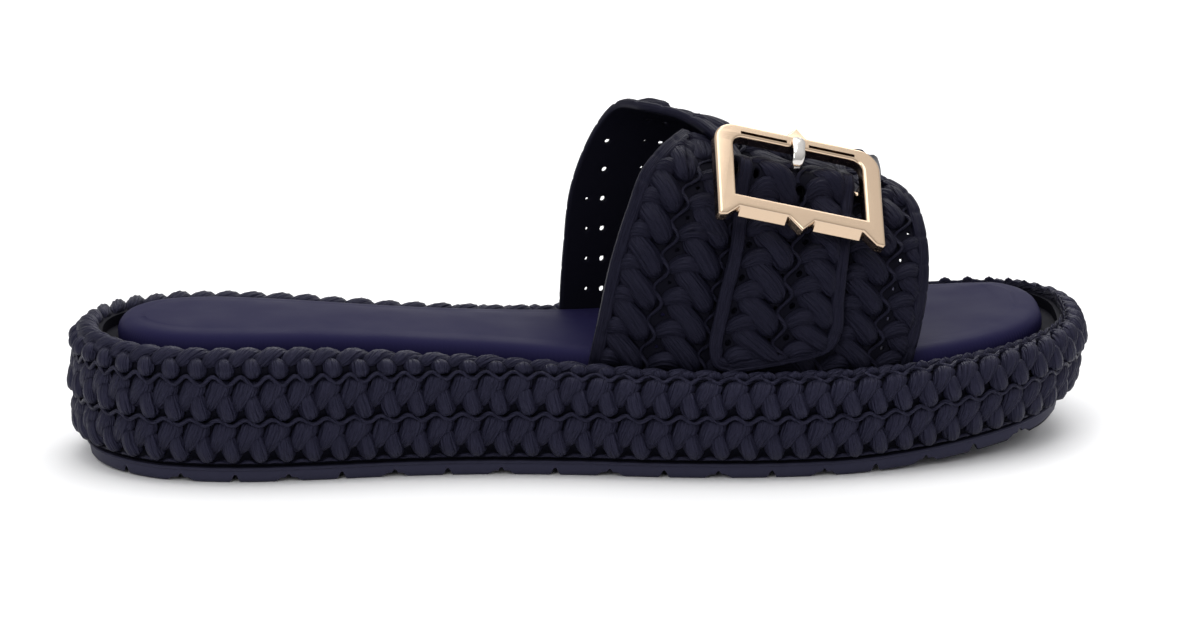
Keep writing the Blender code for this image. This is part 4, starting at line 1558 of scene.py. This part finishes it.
# Nickel plate on steel: cool and nearly white, so the prong stands out from the gold.
nickel = plated_metal("polished_nickel_plated_steel", "#D2CECA", 0.14, 0.04)
print("metals:", gold.name, "and", nickel.name)

# %% [markdown]
# ## Buckle frame
#
# The face of the frame is broad and softly rounded. A small point stands out at the middle of the
# top and bottom bars. It is modelled flat, in its own axes, and then set on the strap with one
# matrix. A flat curve with its window as a second outline gives the casting in one step, and the
# curve's bevel rounds every edge.

# %% Buckle's place on the strap
FRAME_WIDTH = 46.8 * MM
FRAME_HEIGHT = 27.6 * MM
FRAME_THICK = 3.9 * MM
FRAME_LIFT = 7.45 * MM
WINDOW_WIDTH = 36.4 * MM
WINDOW_HEIGHT = 19.6 * MM
CORNER_OUTER = 6 * MM
CORNER_INNER = 3 * MM
FRAME_POINT = 3.8 * MM
AXLE_RADIUS = 0.8 * MM
AXLE_LIFT = 5.2 * MM
LUG = 3.2 * MM
BUCKLE_FACES = Vector((0.26, -0.62, 0.74)).normalized()
BUCKLE_UP = Vector((0.076, 0.781, 0.62))

buckle_up = (BUCKLE_UP - BUCKLE_FACES * BUCKLE_UP.dot(BUCKLE_FACES)).normalized()
buckle_along = buckle_up.cross(BUCKLE_FACES)
buckle_place = Matrix((buckle_along, buckle_up, BUCKLE_FACES)).transposed().to_4x4()
buckle_place.translation = (
    Vector(on_last(np.array(BUCKLE_ALONG * LENGTH), np.array(BUCKLE_AROUND), 0.0)) + buckle_up * 0.5 * MM
)


print("buckle frame:", round(FRAME_WIDTH / MM, 1), "by", round(FRAME_HEIGHT / MM, 1), "mm")

# %% Outlines of the frame and its window


def corner_arc(cx, cy, radius, start, steps=10):
    arc = []
    for k in range(steps + 1):
        angle = math.radians(start + 90 * k / steps)
        arc.append((cx + radius * math.cos(angle), cy + radius * math.sin(angle)))
    return arc


def frame_outline():
    half = 0.5 * FRAME_WIDTH
    top = 0.5 * FRAME_HEIGHT
    inset = 6 * MM
    points = corner_arc(half - CORNER_OUTER, top - CORNER_OUTER, CORNER_OUTER, 0)
    points += [(0.75 * FRAME_POINT, top), (0, top + 0.8 * FRAME_POINT), (-0.75 * FRAME_POINT, top)]
    points += corner_arc(-half + CORNER_OUTER, top - CORNER_OUTER, CORNER_OUTER, 90)
    points += [(-half, -top - FRAME_POINT + 0.6 * MM), (-half + 0.6 * MM, -top - FRAME_POINT)]
    points += [(-half + 2.4 * MM, -top - FRAME_POINT + 0.3 * MM), (-half + inset, -top)]
    points += [(-0.95 * FRAME_POINT, -top)]
    points += [(0, -top - FRAME_POINT), (0.95 * FRAME_POINT, -top), (half - inset, -top)]
    points += [(half - 2.4 * MM, -top - FRAME_POINT + 0.3 * MM), (half - 0.6 * MM, -top - FRAME_POINT)]
    points += [(half, -top - FRAME_POINT + 0.6 * MM)]
    return points


def window_outline():
    half = 0.5 * WINDOW_WIDTH
    top = 0.5 * WINDOW_HEIGHT
    points = corner_arc(half - CORNER_INNER, top - CORNER_INNER, CORNER_INNER, 0)
    points += corner_arc(-half + CORNER_INNER, top - CORNER_INNER, CORNER_INNER, 90)
    points += [(-half, -top), (half, -top)]
    return points


# %% Flat metal with rounded edges


def flat_metal(name, outlines, thick, bevel):
    """A flat shape with its holes, given thickness and rounded edges, as a mesh in buckle axes."""
    curve = bpy.data.curves.new(name, "CURVE")
    curve.dimensions = "2D"
    curve.fill_mode = "BOTH"
    curve.extrude = 0.5 * thick - bevel
    curve.bevel_depth = bevel
    curve.bevel_resolution = 4
    curve.offset = -bevel
    for outline in outlines:
        spline = curve.splines.new("POLY")
        spline.points.add(len(outline) - 1)
        spline.use_cyclic_u = True
        for point, (x, y) in zip(spline.points, outline):
            point.co = (x, y, 0, 1)
    helper = bpy.data.objects.new(name + "_curve", curve)
    scene.collection.objects.link(helper)
    graph = bpy.context.evaluated_depsgraph_get()
    mesh = bpy.data.meshes.new_from_object(helper.evaluated_get(graph))
    bpy.data.objects.remove(helper, do_unlink=True)
    return mesh


# %% [markdown]
# ## Axle, lugs and lower lips
#
# The prong turns on a thin axle that two lugs hold behind the frame. Under the bottom bar, on each
# side of its point, a sloping lip runs along. They are part of the same casting, so they go into
# the same mesh.

# %% Casting
LIP_SLOPE = ((0.9, -0.3), (0.15, -0.55), (-1.2, -3.1), (-1.0, -3.5), (0.9, -3.5))

frame_mesh = flat_metal("buckle_casting", [frame_outline(), window_outline()], FRAME_THICK, 0.9 * MM)
frame_mesh.transform(Matrix.Translation((0, 0, FRAME_LIFT + 0.5 * FRAME_THICK)))
work = bmesh.new()
work.from_mesh(frame_mesh)
bmesh.ops.remove_doubles(work, verts=work.verts, dist=0.005 * MM)
lug_top = FRAME_LIFT + 0.8 * MM
lug_low = AXLE_LIFT - AXLE_RADIUS - 0.1 * MM
turned = Matrix.Rotation(0.5 * math.pi, 4, "Y")
bmesh.ops.create_cone(
    work, cap_ends=True, segments=24, radius1=AXLE_RADIUS, radius2=AXLE_RADIUS,
    depth=WINDOW_WIDTH + 5 * MM, matrix=Matrix.Translation((0, AXLE_UP, AXLE_LIFT)) @ turned,
)
for side in (-1, 1):
    middle = side * (0.5 * WINDOW_WIDTH + 0.5 * LUG + 0.5 * MM)
    block = Matrix.Translation((middle, AXLE_UP, 0.5 * (lug_top + lug_low)))
    sides = Matrix.Diagonal((LUG, LUG, lug_top - lug_low, 1))
    bmesh.ops.create_cube(work, size=1.0, matrix=block @ sides)
for side in (-1, 1):
    low_edge = -0.5 * FRAME_HEIGHT
    near = side * 1.05 * FRAME_POINT
    far = side * (0.5 * FRAME_WIDTH - 6.4 * MM)
    face = FRAME_LIFT + FRAME_THICK
    ends = [
        [work.verts.new((x, low_edge + up * MM, face + deep * MM)) for up, deep in LIP_SLOPE]
        for x in (near, far)
    ]
    work.faces.new(ends[0])
    work.faces.new(ends[1][::-1])
    for k in range(len(LIP_SLOPE)):
        after = (k + 1) % len(LIP_SLOPE)
        work.faces.new((ends[0][k], ends[1][k], ends[1][after], ends[0][after]))
bmesh.ops.recalc_face_normals(work, faces=work.faces)
work.to_mesh(frame_mesh)
work.free()
frame_mesh.transform(buckle_place)
frame_mesh.shade_smooth()
frame_mesh.set_sharp_from_angle(angle=math.radians(32))
frame_mesh.materials.clear()
frame_mesh.materials.append(gold)
casting = bpy.data.objects.new("buckle_casting", frame_mesh)
scene.collection.objects.link(casting)
even_faces = casting.modifiers.new("even_faces", "WEIGHTED_NORMAL")
even_faces.keep_sharp = True
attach(casting, "root")
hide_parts("buckle_frame")

# %% [markdown]
# ## Recess along the top bar
#
# A thin slot runs along the top bar on each side of the prong. It looks like a dark line. It is
# carved, not painted, so that its inner edge catches light as the real one does.

# %% Recess
RECESS_WIDE = 0.9 * MM
RECESS_LONG = 13.0 * MM
RECESS_DEEP = 2.8 * MM

recess_mesh = bpy.data.meshes.new("recess_cutter")
work = bmesh.new()
for side in (-1, 1):
    middle = Matrix.Translation((side * 9.6 * MM, 0.5 * WINDOW_HEIGHT + 1.2 * MM, FRAME_LIFT + FRAME_THICK))
    sides = Matrix.Diagonal((RECESS_LONG, RECESS_WIDE, 2 * RECESS_DEEP, 1))
    bmesh.ops.create_cube(work, size=1.0, matrix=middle @ sides)
work.to_mesh(recess_mesh)
work.free()
recess_mesh.transform(buckle_place)
recess = bpy.data.objects.new("recess_cutter", recess_mesh)
scene.collection.objects.link(recess)
carve(casting, recess, inside=True)
print("buckle frame:", len(casting.data.polygons), "faces")

# %% [markdown]
# ## Prong
#
# The prong is a strip of steel bent round the axle. It comes up through the hole in the strap and
# rests on the top bar. Its side view is a path with a width at each point, and a rounded section
# is swept along that path.

# %% Prong
PRONG_WIDTH = 3.2
EYE_WIDTH = 2.9
PRONG_THICK = 0.8


def prong_piece():
    reach = AXLE_RADIUS / MM + 0.3 + 0.5 * PRONG_THICK
    up0 = AXLE_UP / MM
    path = []
    for angle in (200, 235, 270, 305, 340):
        turn = math.radians(angle)
        path.append((up0 + reach * math.cos(turn), AXLE_LIFT / MM + reach * math.sin(turn), EYE_WIDTH))
    over = (FRAME_LIFT + FRAME_THICK) / MM + 0.3 + 0.5 * PRONG_THICK
    path += [
        (up0 + 1.8, over - 3.2, EYE_WIDTH), (up0 + 2.8, over - 1.2, EYE_WIDTH),
        (up0 + 4.4, over - 0.2, PRONG_WIDTH), (up0 + 6.0, over, PRONG_WIDTH),
        (0.5 * FRAME_HEIGHT / MM - 1.9, over, PRONG_WIDTH),
        (0.5 * FRAME_HEIGHT / MM - 1.4, over - 0.1, 0.86 * PRONG_WIDTH),
    ]
    path = np.array(path)
    run = np.concatenate([[0], np.cumsum(np.hypot(*np.diff(path[:, :2], axis=0).T))])
    even = np.linspace(0, run[-1], 40)
    path = np.stack([smooth(np.column_stack([run, path[:, k]]), even, 1) for k in range(3)], axis=-1)
    along = np.gradient(path[:, :2], axis=0)
    along /= np.linalg.norm(along, axis=-1, keepdims=True)
    side = np.stack([-along[:, 1], along[:, 0]], axis=-1)
    section = [(-0.5, -0.4), (-0.42, -0.5), (0.42, -0.5), (0.5, -0.4), (0.5, 0.15), (0.42, 0.38)]
    section += [(0.22, 0.5), (-0.22, 0.5), (-0.42, 0.38), (-0.5, 0.15)]
    across = np.array([row[0] for row in section])
    through = np.array([row[1] for row in section]) * PRONG_THICK
    x = path[:, 2:] * across
    y = path[:, :1] + side[:, :1] * through
    z = path[:, 1:2] + side[:, 1:] * through
    local = np.stack([x, y, z], axis=-1).reshape(-1, 3) * MM
    turn = np.array(buckle_place.to_3x3())
    points = local @ turn.T + np.array(buckle_place.translation)
    sides = len(section)
    faces = grid_faces(len(path), sides, round_columns=True)
    faces.append(list(range(sides))[::-1])
    faces.append([(len(path) - 1) * sides + k for k in range(sides)])
    return mesh_piece("prong", points, faces, nickel, 40)


prong = prong_piece()
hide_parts("buckle_prong")
